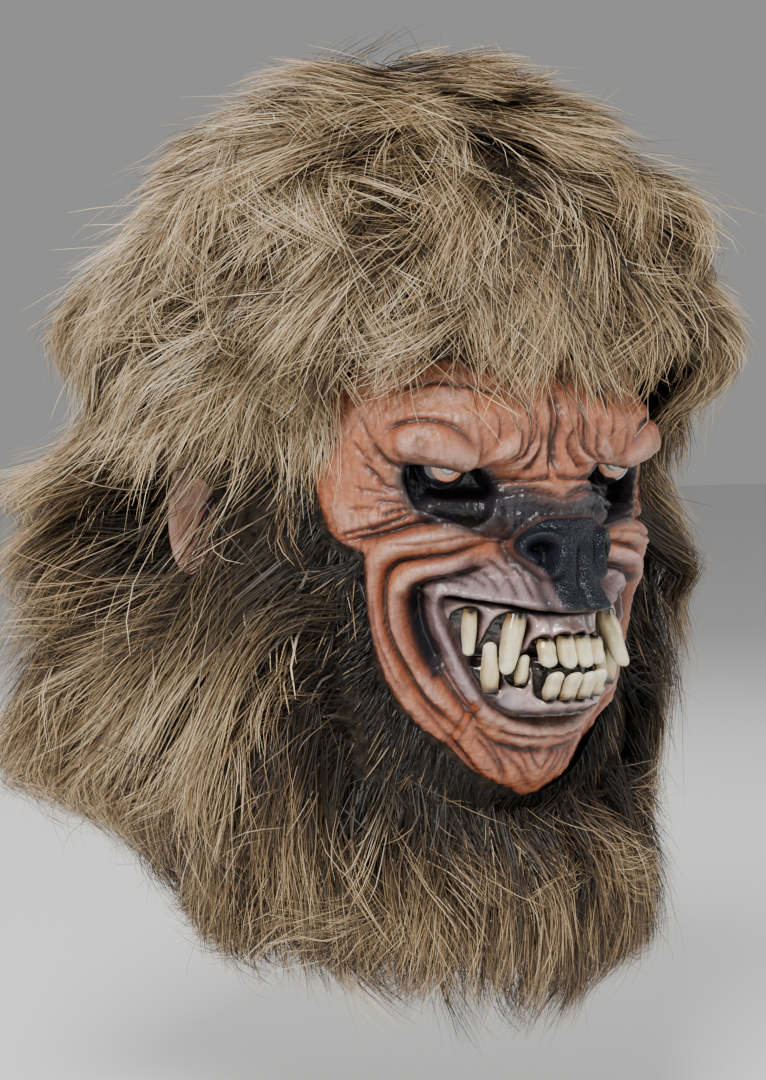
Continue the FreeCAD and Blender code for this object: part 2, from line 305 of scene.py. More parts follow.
# ---------------------------------------------------------------- the face sculpt
FLAT_RADIUS = 100.0      # angles become millimetres at this radius where outlines are compared


def flat(degrees, z):
    return np.stack([np.radians(degrees) * FLAT_RADIUS, z], -1)


def outline(points):
    """A closed outline given on the wearer's right, angle and height, as flat millimetres."""
    p = np.asarray(points, float)
    run = spline(np.vstack([p, p[:1]]), 2.0)
    return flat(run[:, 0], run[:, 1])


MOUTH = [(12, 128.5), (0, 129), (-8, 130), (-15, 133), (-21, 134.5), (-27.5, 136), (-28.6, 130),
         (-26.2, 121), (-23.2, 111), (-19.9, 100.5), (-15.6, 90.5), (-11.3, 84), (-6, 81.2), (0, 80.5),
         (12, 80.5)]
SOCKET = [(-36.6, 191), (-37.2, 184), (-35, 174.5), (-31, 168.6), (-24.5, 166.5), (-18.5, 168),
          (-15, 173), (-14.3, 180), (-16.2, 187), (-21, 192), (-29, 193.6)]
SLIT = [(-30, 172.6), (-27, 175.4), (-21.5, 176.2), (-17.6, 175.6), (-17.8, 171.2), (-22, 169.9),
        (-27.4, 170.4)]
NOSE = [(12, 171.6), (-3.6, 171.6), (-6.8, 171.2), (-10.6, 169.4), (-13.8, 165), (-15.3, 158.4),
        (-14.9, 153.5), (-13, 149.8), (-10.2, 146.6), (-8.2, 142.6), (-6.9, 135.5), (-5.4, 129.6),
        (-3, 128.4), (12, 128.4)]
NOSTRIL = [(-5.6, 156.6), (-7.0, 159.2), (-9.2, 159.2), (-10.7, 156.8), (-10.4, 153.6), (-8.8, 151.8),
           (-8.6, 148.8), (-7.3, 146.8), (-6.5, 149), (-6.1, 152.6)]
AREAS = {"mouth": MOUTH, "socket": SOCKET, "slit": SLIT, "nose": NOSE, "nostril": NOSTRIL, "face": FACE}

# The scar is on the wearer's right only.  The crevice is behind each corner of the mouth: it is one of the
# creases, and its black is painted shade in the deep fold.
SCAR = [(-18.5, 91), (-20, 86.6), (-20.7, 83.5), (-22.3, 77.7), (-24.1, 73.3)]
CREVICE = [(-33.6, 139.5), (-34.2, 131), (-33.2, 121), (-31, 111.5), (-28.4, 104)]
# Strokes on the wearer's right, mirrored to the left: kind, width, amount, and angles and heights
# along the stroke.  "roll" raises a rounded fold, "crease" cuts a sharp line.
STROKES = [
    # the two rolled folds that sweep from the nose round the corner of the mouth
    ("roll", 4.6, 6.0, [(-17, 163), (-23, 161.5), (-31, 160), (-37.5, 157.5), (-42, 152.5), (-43.6, 144.5),
        (-43.6, 131.5), (-42, 117), (-38.6, 102), (-33.5, 88), (-27, 77)]),
    ("roll", 4.8, 7.0, [(-18, 153), (-26.5, 149.5), (-33, 147), (-36.9, 141), (-38, 132), (-36.8, 119.5),
        (-33.6, 107.5), (-29.4, 96), (-24, 86)]),
    ("crease", 1.6, 5.0, [(-52, 158), (-42.5, 161.3), (-37.5, 164), (-32, 167), (-24.5, 167.3),
        (-17.4, 167.6)]),
    ("crease", 1.4, 5.0, [(-16.5, 159.3), (-20.5, 156.8), (-26.6, 153.8), (-33, 152.2), (-37.8, 150.4),
        (-40.4, 145), (-41, 134), (-40, 121.5), (-37.2, 110), (-32.5, 97), (-27.4, 86.5), (-22.5, 78)]),
    ("crease", 1.6, 5.5, [(-19.5, 146.3), (-26.4, 144.4), (-31.2, 142.4), (-34.4, 138)]),
    # crevice behind the mouth corner, inner lip band and its border
    ("crease", 5.0, 12.0, CREVICE),
    ("crease", 1.3, 3.5, [(-28.4, 104), (-25.6, 97.5), (-21.6, 88.5), (-17.6, 81)]),
    ("roll", 3.2, 2.4, [(-29.6, 134), (-28.4, 124), (-26, 113), (-22.6, 101), (-18.2, 89.5), (-12.5, 80)]),
    # upper lip edge
    ("roll", 2.2, 2.0, [(-27, 138.5), (-20, 137.5), (-14, 136.2), (-8, 133), (0, 131.6)]),
    # fine wrinkles over the muzzle
    ("crease", 0.8, 1.5, [(-16.2, 150.5), (-12.4, 143), (-9.4, 134)]),
    ("crease", 0.8, 1.4, [(-19.2, 150.6), (-15.1, 141.7), (-12.2, 134.6)]),
    ("crease", 0.8, 1.3, [(-22.5, 149.4), (-18.5, 141.5), (-15.8, 136.5)]),
    ("crease", 0.7, 1.2, [(-26, 147.4), (-21.8, 142.4), (-18.6, 138.4)]),
    ("crease", 0.7, 1.1, [(-29.5, 145.2), (-25.4, 142), (-22, 139.4)]),
    # lower lip and chin
    ("roll", 4.0, 2.0, [(-12.5, 77.5), (-6, 75.4), (0, 75)]),
    ("crease", 0.9, 2.0, [(-13.5, 78.5), (-7.5, 76.6), (0, 76)]),
    ("crease", 0.9, 1.8, [(-18.4, 76), (-12.8, 65.6), (-9.4, 57)]),
    ("crease", 0.8, 1.6, [(-10.6, 74), (-5.6, 66), (-2.8, 58)]),
    ("crease", 0.9, 1.7, [(-24.4, 75), (-18.5, 64), (-14.6, 56)]),
    ("crease", 0.8, 1.5, [(-5.5, 73), (-2.2, 64.5), (0, 60)]),
    ("crease", 0.8, 1.5, [(-33.4, 95), (-28.6, 84), (-22.4, 71.5), (-17, 62)]),
    # lines along the lip band and the folds
    ("crease", 0.8, 1.7, [(-30.8, 119), (-27.8, 108.4), (-23.9, 98), (-19.8, 88.4)]),
    ("crease", 0.7, 1.4, [(-27.4, 127), (-25.1, 117), (-22.1, 106), (-18.1, 95), (-13.4, 85)]),
    ("crease", 0.7, 1.3, [(-40.5, 158.4), (-33.5, 158.6), (-26.5, 160), (-21, 161.8)]),
    ("crease", 0.7, 1.3, [(-43.2, 138), (-43, 124), (-40, 108), (-35.8, 95)]),
    ("crease", 0.7, 1.3, [(-45.4, 148), (-45.6, 132), (-44.2, 117)]),
    ("crease", 2.0, 2.6, [(-14, 72.5), (-8, 69.6), (0, 69)]),
    ("crease", 1.2, 1.8, [(-19.7, 82), (-14.2, 72), (-10.2, 61), (-8.8, 54)]),
    ("crease", 1.1, 1.6, [(-15.8, 76.5), (-10.2, 67.6), (-6, 60.9), (-1, 52)]),
    # brow: crease above it, hanging roll, and its sharp lower edge
    ("crease", 1.4, 3.2, [(-41.5, 203.8), (-37.4, 208), (-32.2, 209.6), (-27, 207.2), (-21, 201.2)]),
    ("roll", 6.0, 5.2, [(-39.5, 199.5), (-33.2, 201.5), (-26.6, 200.5), (-20, 196)]),
    ("roll", 8.5, 5.5, [(-14.5, 203), (-11, 196), (-7, 190.5)]),
    ("crease", 1.3, 2.6, [(-8.6, 221), (-7.8, 213), (-7.6, 205), (-8.6, 197.4), (-12.5, 193)]),
    ("crease", 1.1, 1.8, [(-11.5, 210), (-10.6, 203.5), (-11, 198), (-13.5, 195)]),
    ("crease", 1.1, 1.8, [(-4.6, 206), (-4.2, 198.6), (-6.2, 191.5), (-9, 188)]),
    ("crease", 1.0, 1.5, [(-21.5, 211), (-20.4, 203), (-20.4, 197.6)]),
    ("crease", 1.6, 4.0, [(-0.6, 222), (-0.8, 207), (-0.4, 196.3), (-1.2, 187)]),
    # folds over the bridge of the nose
    ("roll", 2.6, 2.4, [(-12, 180.5), (-6, 182), (-1.5, 180)]),
    ("roll", 2.2, 2.2, [(-15.5, 174.8), (-8.5, 176.8), (-3.5, 174.5), (0, 174)]),
    ("crease", 1.0, 2.2, [(-13, 178), (-8, 179.8), (-3.5, 178.3), (0, 176.8)]),
    ("crease", 1.2, 3.0, [(-16.6, 182.6), (-12.5, 184.2), (-7, 183.6), (-2.5, 185), (0, 187)]),
    ("crease", 1.0, 2.4, [(-18.9, 170.6), (-14.1, 172.6), (-8.6, 174), (-3, 172.4)]),
    # crow's feet and cheek lines
    ("crease", 1.1, 2.2, [(-44, 200.5), (-41, 193.8), (-37.3, 189)]),
    ("crease", 1.1, 2.4, [(-46.4, 191.8), (-42.6, 185.6), (-40.9, 181.6), (-37.4, 180.6)]),
    ("crease", 1.0, 1.8, [(-43, 197), (-39.5, 190.5)]),
    ("crease", 1.0, 2.0, [(-43.5, 175.6), (-39, 175.2), (-36.2, 174.8)]),
    ("crease", 1.0, 2.2, [(-42, 169), (-38.8, 171.6), (-35.6, 172)]),
    ("crease", 1.2, 2.6, [(-46.4, 162.6), (-42, 165.2), (-37.6, 168.2), (-34.6, 171.6)]),
    ("crease", 1.0, 1.6, [(-53, 160.2), (-47.5, 163), (-43.6, 164.4)]),
    ("roll", 3.0, 1.8, [(-45, 167), (-39, 170)]),
    ("crease", 0.8, 1.5, [(-48.5, 181), (-44, 179.6), (-40, 178.4)]),
    ("crease", 0.8, 1.4, [(-50, 172), (-46, 172.4), (-42.5, 172.2)]),
    ("crease", 0.8, 1.5, [(-48.6, 201), (-46, 195), (-43.4, 190.6)]),
    ("crease", 0.8, 1.5, [(-47, 212), (-45.4, 205.6), (-43.4, 200.8)]),
    # forehead
    ("crease", 0.9, 1.6, [(-6.4, 216), (-5.8, 208), (-6.6, 201), (-9, 195.6)]),
    ("crease", 0.9, 1.6, [(-16.6, 214), (-15.6, 207), (-16.2, 201)]),
    ("crease", 1.6, 1.8, [(-40, 221), (-30, 225), (-20, 223), (-12, 219)]),
    ("crease", 1.6, 1.6, [(-38, 232), (-26, 236), (-14, 232), (-4, 228)]),
]


def face_grid():
    """Angles and heights of the skin's grid, fine over the face and coarse under the fur."""
    fine = np.arange(-63.0, 63.01, 0.45)
    right = np.arange(-180.0, -65.0, 4.0)
    angles = np.concatenate([right, fine, -right[:0:-1]])
    heights = np.concatenate([np.arange(0.0, 38.0, 3.0), np.arange(38.0, 246.0, 0.74),
                              np.arange(247.0, 317.1, 5.0)])
    return angles, heights


def on_head_path(path, spacing):
    """A smooth run on the plain head through angles and heights."""
    path = np.asarray(path, float)
    return spline(on_head(path[:, 0], path[:, 1]), spacing)


def stroke_lift(points):
    """What the listed strokes add along the normal, and how strongly the creases cut, 0 to 1."""
    lift = np.zeros(len(points))
    relief = np.zeros(len(points))
    for kind, width, amount, path in STROKES:
        run = on_head_path(path, 1.5)
        near = np.all((points > run.min(0) - 5 * width) & (points < run.max(0) + 5 * width), axis=1)
        distance, along = distance_to_run(points[near], run)
        taper = smooth(0.0, 0.16, along) * (1.0 - 0.85 * smooth(0.86, 1.0, along)) * 0.8 + 0.2
        if kind == "roll":
            lift[near] += amount * np.exp(-(distance / width) ** 2 * 0.8) * taper
        else:
            cut = amount * np.exp(-(distance / width) ** 1.25) * taper
            lift[near] -= cut
            relief[near] = np.maximum(relief[near], cut / amount * min(amount / 2.2, 1.0))
    return lift, relief


def edge_turn(z):
    """Angle from straight ahead at which the bare face ends, at a height."""
    rows = np.array(SEAM[::-1] + TEMPLE[::-1], float)
    return float(np.interp(z, rows[:, 1], -rows[:, 0], left=CHIN_TURN))


def area_distance(s, name):
    """Signed distance of the skin's points to one area's outline, 90 where it is far."""
    near = s.side < (75.0 if name == "face" else 60.0)
    distance = np.full(len(s.side), 90.0)
    distance[near] = signed_distance(flat(s.turn, s.z)[near], outline(AREAS[name]))
    return distance


def skin_normals(s):
    grid = s.base.reshape(*s.shape, 3)
    across = np.roll(grid, -1, 1) - np.roll(grid, 1, 1)
    up = np.gradient(grid, axis=0)
    return unit(np.cross(across, up).reshape(-1, 3))


def sculpt_eyes(s):
    """A sunk bowl under a hood, a second ring round the slit and the tear bump at the inner corner."""
    s.bowl = s.ahead * (1.0 - smooth(-5.0, 0.8, s.socket))
    hood = band(s.z, 190.5, 194.5, 197.0, 208.0) * bump(s.turn, -26.0, 8.5)
    s.lift += s.ahead * 6.5 * hood
    s.lift = s.lift * (1.0 - 0.8 * s.bowl) - 10.5 * s.bowl
    s.lift += s.ahead * 1.6 * bump(s.socket, -1.0, 2.0)
    s.lift += s.ahead * 3.4 * bump(s.slit, 2.6, 1.9) - s.ahead * 1.4 * bump(s.slit, 6.3, 1.2)
    s.lift -= s.ahead * 3.0 * (1.0 - smooth(-1.6, 0.4, s.slit))
    tear = np.hypot((s.turn + 17.5) * 1.75, s.z - 170.5)
    s.lift += 3.6 * s.ahead * np.exp(-(tear / 4.6) ** 2)


def sculpt_nose(s):
    """The muzzle falls back beside a swollen pad with comma nostrils, raised wings and a parted septum."""
    beside = band(s.z, 133.0, 143.0, 165.0, 176.0) * (1.0 - smooth(16.5, 28.0, s.side))
    s.lift -= (7.5 + 6.5 * smooth(4.0, 15.5, s.side)) * beside
    s.pad = s.ahead * (1.0 - smooth(-4.6, 0.6, s.nose))
    s.lift = s.lift * (1.0 - 0.2 * s.pad) + 5.2 * s.pad - s.ahead * 2.2 * bump(s.nose, 1.4, 1.0)
    wing = 3.4 * bump(s.nostril, 2.6, 1.5) * (s.turn < -4.0)
    s.lift += s.ahead * wing - s.ahead * 8.0 * (1.0 - smooth(-2.2, 0.7, s.nostril))
    s.septum = bump(s.a, 0.0, 0.75) * smooth(127.0, 131.0, s.z) * (1.0 - smooth(152.0, 162.0, s.z))
    s.lift -= 3.4 * s.septum


def sculpt_mouth(s):
    """The lips turn in to a deep recess that takes gums and teeth."""
    s.inside = s.ahead * (1.0 - smooth(-3.0, 0.6, s.mouth))
    s.lift = s.lift * (1.0 - s.inside) - 15.0 * s.inside
    s.lift += s.ahead * 1.5 * bump(s.mouth, 2.2, 1.5)


def sculpt_skin():
    """The skin's points, with the areas and depths that its paint follows."""
    angles, heights = face_grid()
    a, z = [values.ravel() for values in np.meshgrid(angles, heights)]
    s = SimpleNamespace(a=a, z=z, side=np.abs(a), turn=-np.abs(a), shape=(len(heights), len(angles)))
    s.base = on_head(a, z)
    s.mirrored = on_head(s.turn, z)
    s.ahead = s.side < 60.0
    for name in AREAS:
        setattr(s, name, area_distance(s, name))
    s.lift, s.relief = stroke_lift(s.mirrored)
    sculpt_eyes(s)
    sculpt_nose(s)
    sculpt_mouth(s)
    wrinkle = fractal(s.base, 9.0, 3, 3) * 0.42 + fractal(s.base, 3.4, 2, 4) * 0.30
    s.lift += wrinkle * (1.0 - s.inside) * (1.0 - s.pad)
    s.points = s.base + skin_normals(s) * s.lift[:, None]
    return s


# ---------------------------------------------------------------- the face paint, in linear values
TERRACOTTA = (0.43, 0.152, 0.070)
RUST = (0.34, 0.085, 0.035)
PINK = (0.56, 0.32, 0.245)
LILAC = (0.33, 0.235, 0.25)
GRIME = (0.10, 0.042, 0.026)
DRY_BRUSH = (0.09, 0.042, 0.032)
CREASE_UMBER_AND_SHADE = (0.07, 0.030, 0.022)
THROAT_SHADE = (0.045, 0.022, 0.028)
WORN_EDGE = (0.045, 0.036, 0.040)
SMOKE = (0.040, 0.036, 0.046)
WASH = (0.035, 0.018, 0.014)
INK = (0.016, 0.015, 0.020)
VIOLET = (0.016, 0.012, 0.026)
STEEL_HIGHLIGHT = (0.014, 0.019, 0.030)
SOOT = (0.010, 0.010, 0.014)
SLATE = (0.006, 0.008, 0.012)
FRESH_SCAR = (0.36, 0.085, 0.030)


def coat(s, *coats):
    """Coats of paint over the skin: each coat is its colour and its amount per point."""
    for over, amount in coats:
        s.colour = blend(s.colour, over, amount)


def polish(s, rough, amount):
    """Moves the roughness towards a value."""
    s.rough = s.rough + (rough - s.rough) * amount


def near_path(s, path, turn, margin=6.0):
    """Distance from the skin's points to a path on it, 50 where it is far; turn holds their angles."""
    low, high = np.min(path, axis=0) - margin, np.max(path, axis=0) + margin
    near = (turn > low[0]) & (turn < high[0]) & (s.z > low[1]) & (s.z < high[1])
    distance = np.full(len(turn), 50.0)
    distance[near] = distance_to_run(s.mirrored[near], on_head_path(path, 1.0))[0]
    return distance


def fold_height(s):
    """How far each point stands over the average of its surroundings on the grid."""
    lift = s.lift.reshape(s.shape)
    broad = lift.copy()
    for axis, reach in ((0, 9), (1, 13)):
        kernel = np.ones(2 * reach + 1) / (2 * reach + 1)
        pads = [(reach, reach) if k == axis else (0, 0) for k in (0, 1)]
        padded = np.pad(broad, pads, mode="edge")
        broad = np.apply_along_axis(lambda v: np.convolve(v, kernel, mode="valid"), axis, padded)
    return (lift - broad).ravel()


def paint_ground(s):
    """Mottled flesh: raised folds take a dry pink brush with a painted highlight, hollows keep the rust with
    painted shade, the muzzle is greyer.
    """
    blotch = fractal(s.base, 42.0, 3, 11)
    fine = fractal(s.base, 7.0, 3, 12)
    s.muzzle = (1.0 - smooth(22.0, 34.0, s.side)) * band(s.z, 126.0, 134.0, 146.0, 155.0)
    chin = (1.0 - smooth(9.0, 20.0, s.side)) * band(s.z, 56.0, 64.0, 68.0, 77.0)
    s.lip = (1.0 - smooth(6.0, 11.5, s.mouth)) * smooth(86.0, 97.0, s.z)
    coat(s, (RUST, 0.55 * smooth(0.0, 1.0, blotch) + 0.12 * fine),
         (PINK, 0.60 * smooth(0.1, 1.0, -blotch)),
         # dry pink brush with painted highlight on the raised folds, rust with painted shade in the hollows
         (PINK, 0.62 * smooth(0.5, 3.2, s.proud)),
         (RUST, 0.60 * smooth(0.4, 2.6, -s.proud)),
         (LILAC, 0.72 * s.muzzle + 0.42 * chin * smooth(-0.6, 0.5, fine)),
         (LILAC, 0.9 * s.lip),
         (WASH, 0.62 * np.exp(-(np.maximum(s.socket, 0.0) / 7.0) ** 1.4)),
         (RUST, 0.6 * smooth(-13.0, 1.0, s.face)),
         (WASH, 0.9 * smooth(-1.8, 0.8, s.face)))
    s.rough = np.minimum(s.rough, 0.42 - 0.16 * s.lip)


def paint_creases(s):
    """Dirty wash rubbed into the skin, black wash with painted shade in the creases, and the hatching of a
    dry brush.
    """
    grime = smooth(0.15, 1.1, fractal(s.base * np.array([1.0, 1.0, 0.6]), 12.0, 4, 17))
    relief = np.clip(s.relief, 0.0, 1.0)
    warm = smooth(0.05, 0.3, relief) * (1.0 - smooth(0.3, 0.8, relief))
    hatch = smooth(0.35, 0.95, fractal(s.base * np.array([1.0, 1.0, 0.4]), 3.4, 3, 23))
    coat(s, (GRIME, 0.52 * grime),
         # umber and black in the creases: wash and painted shade where the folds cut in
         (CREASE_UMBER_AND_SHADE, 0.45 * smooth(0.03, 0.25, relief)),
         (WASH, 0.95 * smooth(0.20, 0.62, relief)),
         (RUST, 0.55 * warm * (1.0 - np.clip(s.muzzle + s.lip, 0.0, 1.0))),
         # the deep crevice behind the mouth corner painted black as shade
         (SOOT, 0.96 * (1.0 - smooth(1.8, 4.6, near_path(s, CREVICE, s.turn)))),
         (DRY_BRUSH, 0.50 * hatch * (1.0 - 0.4 * smooth(0.5, 3.0, s.proud))))


def paint_eyes(s):
    """Black rubbed round the eyes and over the bridge of the nose, and sooty sockets with a worn ring."""
    bridge = bump(s.a, 0.0, 9.0) * np.exp(-(((s.z - 173.0) / 6.5) ** 2))
    corner = np.exp(-(((s.turn + 11.5) / 6.8) ** 2 + ((s.z - 175.0) / 7.5) ** 2) ** 2)
    under = np.exp(-(((s.turn + 19.0) / 7.0) ** 2 + ((s.z - 164.8) / 3.2) ** 2))
    socket = smooth(-0.2, 1.0, s.bowl * 1.25)
    ring = bump(s.slit, 2.8, 1.6) * (s.slit < 20.0)
    coat(s, (SOOT, 0.88 * (1.0 - smooth(0.4, 4.2, s.socket))),
         (SMOKE, 0.75 * bridge),
         (INK, np.clip(0.95 * corner + 0.7 * under, 0.0, 0.95)),
         (SOOT, 0.97 * socket),
         (WORN_EDGE, 0.7 * ring * socket))
    polish(s, 0.26, np.clip(corner + 0.5 * bridge, 0.0, 1.0))
    polish(s, 0.16, smooth(0.2, 0.9, socket))


def paint_nose(s):
    """A slate pad with a violet tinge and a steel-blue painted highlight on its raised parts, nostrils
    painted black as shade in their depth, and a black parting.
    """
    s.leather = np.clip(s.pad * 1.3, 0.0, 1.0)
    violet = smooth(-0.3, 0.9, fractal(s.base, 22.0, 2, 14))
    # steel blue on the raised parts of the pad is a painted highlight
    pad = layered(SLATE, len(s.a), (VIOLET, 0.5 * violet), (STEEL_HIGHLIGHT, 0.4 * smooth(0.0, 3.0, s.lift - 4.0)))
    coat(s, (pad, s.leather),
         (SOOT, bump(s.nose, 1.5, 2.0) * 0.85 * (s.nose < 8.0)),
         # the sunk nostrils painted black as shade
         (SOOT, 1.0 - smooth(-1.2, 0.6, s.nostril)),
         (SOOT, 0.8 * s.septum))
    polish(s, 0.24, s.leather)


def paint_mouth(s):
    """Painted shade in the wet depth behind the lips, a line round the lips, and the scar below the lower
    lip.
    """
    deep = 1.0 - smooth(-2.4, 0.2, s.mouth)
    scar = near_path(s, SCAR, s.a)
    # the depth behind the lips painted dark as shade
    coat(s, (THROAT_SHADE, deep),
         (WASH, 0.65 * bump(s.mouth, 0.2, 0.9)),
         (WASH, 0.8 * bump(scar, 1.7, 0.6)),
         (FRESH_SCAR, np.exp(-(scar / 1.3) ** 2)))
    polish(s, 0.22, deep)
    polish(s, 0.12, np.exp(-(scar / 1.6) ** 2))


def build_skin():
    """The painted skin, open at the neck and at the two vision slits."""
    s = sculpt_skin()
    s.colour = np.tile(np.array(TERRACOTTA), (len(s.a), 1))
    s.rough = np.full(len(s.a), 0.42)
    s.proud = fold_height(s)
    for layer in (paint_ground, paint_creases, paint_eyes, paint_nose, paint_mouth):
        layer(s)
    faces = grid_faces(*s.shape, wrap=True)
    open_slit = (s.slit < -0.5)[faces].all(axis=1)
    skin = mesh_object("latex_skin", s.points, faces[~open_slit])
    paint(skin, "skin_colour", np.clip(s.colour, 0.004, 1.0))
    paint(skin, "skin_rough", np.clip(s.rough, 0.08, 0.8))
    paint(skin, "nose_leather", s.leather)
    return skin


LATEX = 3.0              # thickness of the casting
BEHIND_MUZZLE = 27.0     # the lining keeps clear of the sunk lips and nostrils
SLIT_TURNS, SLIT_HEIGHTS = (17.5, 30.0), (170.0, 176.0)    # the vision slits, seen from inside


def build_lining():
    """The inside of the shell, with the neck rim and the backs of the two vision slits."""
    corners = [-SLIT_TURNS[1], -SLIT_TURNS[0], *SLIT_TURNS]
    angles = np.unique(np.concatenate([np.arange(-180.0, 180.0, 5.0), corners]))
    heights = np.unique(np.concatenate([np.arange(0.0, 310.0, 6.0), SLIT_HEIGHTS, [311.0]]))
    a, z = [values.ravel() for values in np.meshgrid(angles, heights)]
    muzzle = (np.abs(a) < 60.0) & (z > 70.0) & (z < 205.0)
    inner = on_head(a, z, np.where(muzzle, -BEHIND_MUZZLE, -LATEX))
    faces = grid_faces(len(heights), len(angles), wrap=True)[:, ::-1]
    turn, rise = np.abs(a)[faces], z[faces]
    slit = ((turn >= SLIT_TURNS[0]) & (turn <= SLIT_TURNS[1])
            & (rise >= SLIT_HEIGHTS[0]) & (rise <= SLIT_HEIGHTS[1]))
    neck = np.zeros(len(angles))
    rim_mid = on_head(angles, neck, -0.5 * LATEX) - np.array([0.0, 0.0, 0.4 * LATEX])
    rim = grid_faces(3, len(angles), wrap=True) + len(inner)
    points = np.vstack([inner, inner[:len(angles)], rim_mid, on_head(angles, neck)])
    return mesh_object("latex_lining", points, np.vstack([faces[~slit.all(axis=1)], rim]))


# ---------------------------------------------------------------- eyes
EYE_WHITE, VEIN_RED, EYE_ORANGE = (0.50, 0.41, 0.31), (0.55, 0.10, 0.03), (0.72, 0.20, 0.05)
IRIS_GREY, IRIS_RING, IRIS_DARK = (0.55, 0.56, 0.55), (0.06, 0.06, 0.06), (0.12, 0.12, 0.12)
PUPIL, LID_LINE = (0.005, 0.005, 0.006), (0.62, 0.22, 0.09)


def node_box(name):
    low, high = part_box(name)
    return np.array(low) / MM, np.array(high) / MM


def eye_colour(turn, spin, sign):
    """Bloodshot white with a pale iris and a black pupil; turn is in degrees from the gaze."""
    grain = np.sin(spin * 23.0 + 1.3 * np.sin(spin * 7.0)) * 0.5 + np.sin(spin * 41.0 + 0.7) * 0.3
    vein = np.maximum(np.sin(spin * 9.0 + 3.0 * np.sin(turn * 0.21) + sign), 0.0) ** 5
    low_side = smooth(-0.2, 0.9, -np.sin(spin))
    return layered(EYE_WHITE, len(turn),
                   (VEIN_RED, 0.75 * vein * smooth(22.0, 34.0, turn)),
                   (EYE_ORANGE, 0.75 * smooth(20.0, 31.0, turn) * low_side),
                   (IRIS_GREY, (1.0 - smooth(17.0, 19.0, turn)) * (0.8 + 0.2 * grain)),
                   (IRIS_RING, 0.75 * bump(turn, 18.6, 1.4)),
                   (IRIS_DARK, (1.0 - smooth(10.0, 13.0, turn)) * 0.8),
                   (PUPIL, 1.0 - smooth(8.0, 9.6, turn)),
                   (LID_LINE, 0.7 * bump(turn, 36.0, 2.4)),
                   (SOOT, smooth(36.0, 40.0, turn)))


def build_eye(side, sign):
    """A glossy dome looking forward and a little to the wearer's right, with a swollen cornea."""
    low, high = node_box(side + "_eye")
    radius = 0.5 * (high[2] - low[2])
    centre = np.array([0.5 * (low[0] + high[0]), low[1] + radius + 3.0, 0.5 * (low[2] + high[2]) + 1.7])
    gaze = unit(np.array([sign * 0.06 - 0.30, -1.0, -0.05]))
    across = unit(np.cross(gaze, [0.0, 0.0, 1.0]))
    up = np.cross(across, gaze)
    polar = np.radians(np.concatenate([np.linspace(0.4, 40.0, 40), np.linspace(42.0, 104.0, 24)]))
    round_it = np.linspace(0.0, 2.0 * math.pi, 96, endpoint=False)
    p, s = [values.ravel() for values in np.meshgrid(polar, round_it, indexing="ij")]
    turn = np.degrees(p)
    cornea = radius + 0.55 * (1.0 - smooth(15.0, 24.0, turn))
    direction = (np.cos(p)[:, None] * gaze + (np.sin(p) * np.cos(s))[:, None] * across
                 + (np.sin(p) * np.sin(s))[:, None] * up)
    faces = grid_faces(len(polar), len(round_it), wrap=True)
    eye = mesh_object(side + "_eye_dome", centre + direction * cornea[:, None], faces)
    paint(eye, "eye_colour", np.clip(eye_colour(turn, s, sign), 0.003, 1.0))
    return eye


# ---------------------------------------------------------------- gums and teeth
# Fangs: node, x of the root, root height, tip height, width, depth, sideways lean, forward curl,
# and how much of the width is left near the tip.
FANGS = [
    ("upper_canine", 23.8, 127.5, 104.0, 10.4, 9.6, 8.0, 4.6, 0.56),
    ("upper_premolar", 37.0, 129.5, 111.0, 6.6, 6.8, 2.4, 2.6, 0.66),
    ("lower_tusk", 31.4, 97.0, 117.0, 8.2, 7.8, 1.8, 3.0, 0.62),
    ("lower_small_tooth", 21.8, 99.5, 111.5, 6.2, 5.6, -1.6, 1.8, 0.66),
]
FANG_SQUARENESS, INCISOR_SQUARENESS = 2.1, 2.7
INCISOR_DEPTH, INCISOR_TIP = 6.2, 0.98
# Incisors: x, root height, edge height, width at the edge, forward lean of the edge.
INCISORS = {
    "upper": [(-12.9, 117.4, 106.2, 7.9, 3.6), (-4.3, 118.4, 105.6, 8.1, 4.4),
              (4.3, 118.4, 105.6, 8.1, 4.4), (12.9, 117.4, 106.2, 7.9, 3.6)],
    "lower": [(-11.8, 93.6, 104.8, 7.0, 7.6), (-4.0, 93.2, 104.4, 7.2, 8.8),
              (4.0, 93.2, 104.4, 7.2, 8.8), (11.8, 93.6, 104.8, 7.0, 7.6)],
}
GUM_EDGE_SHADE = (0.02, 0.012, 0.013)
GUM_PINK, GUM_VIOLET, GUM_HIGHLIGHT = (0.40, 0.27, 0.26), (0.26, 0.19, 0.22), (0.60, 0.42, 0.38)
GUM_NECK_SHADE, NECK_BLACK, GUM_VALLEY_SHADE = (0.10, 0.045, 0.03), (0.010, 0.007, 0.007), (0.09, 0.05, 0.05)
GUM_END_SHADE, GUM_BACK_SHADE = (0.04, 0.02, 0.022), (0.05, 0.025, 0.028)
IVORY, STAIN, CREAM = (0.76, 0.64, 0.38), (0.50, 0.33, 0.11), (0.86, 0.78, 0.56)
ROOT_BROWN, ROOT_BLACK, GAP_SHADE = (0.20, 0.115, 0.035), (0.010, 0.008, 0.006), (0.24, 0.14, 0.05)


def arch_front(x):
    """How far in front of the axis the face of the gums is."""
    return 117.0 - np.asarray(x) ** 2 / 60.0


def tooth_seats(jaw):
    """Root, tip and half width of every tooth in one jaw."""
    seats = []
    for name, x, root, tip, width, _, lean, _, _ in FANGS:
        if name.startswith(jaw):
            seats += [(sign * x, root, sign * (x + lean), tip, 0.5 * width) for _, sign in SIDES]
    return seats + [(x, root, x, edge, 0.46 * width) for x, root, edge, width, _ in INCISORS[jaw]]


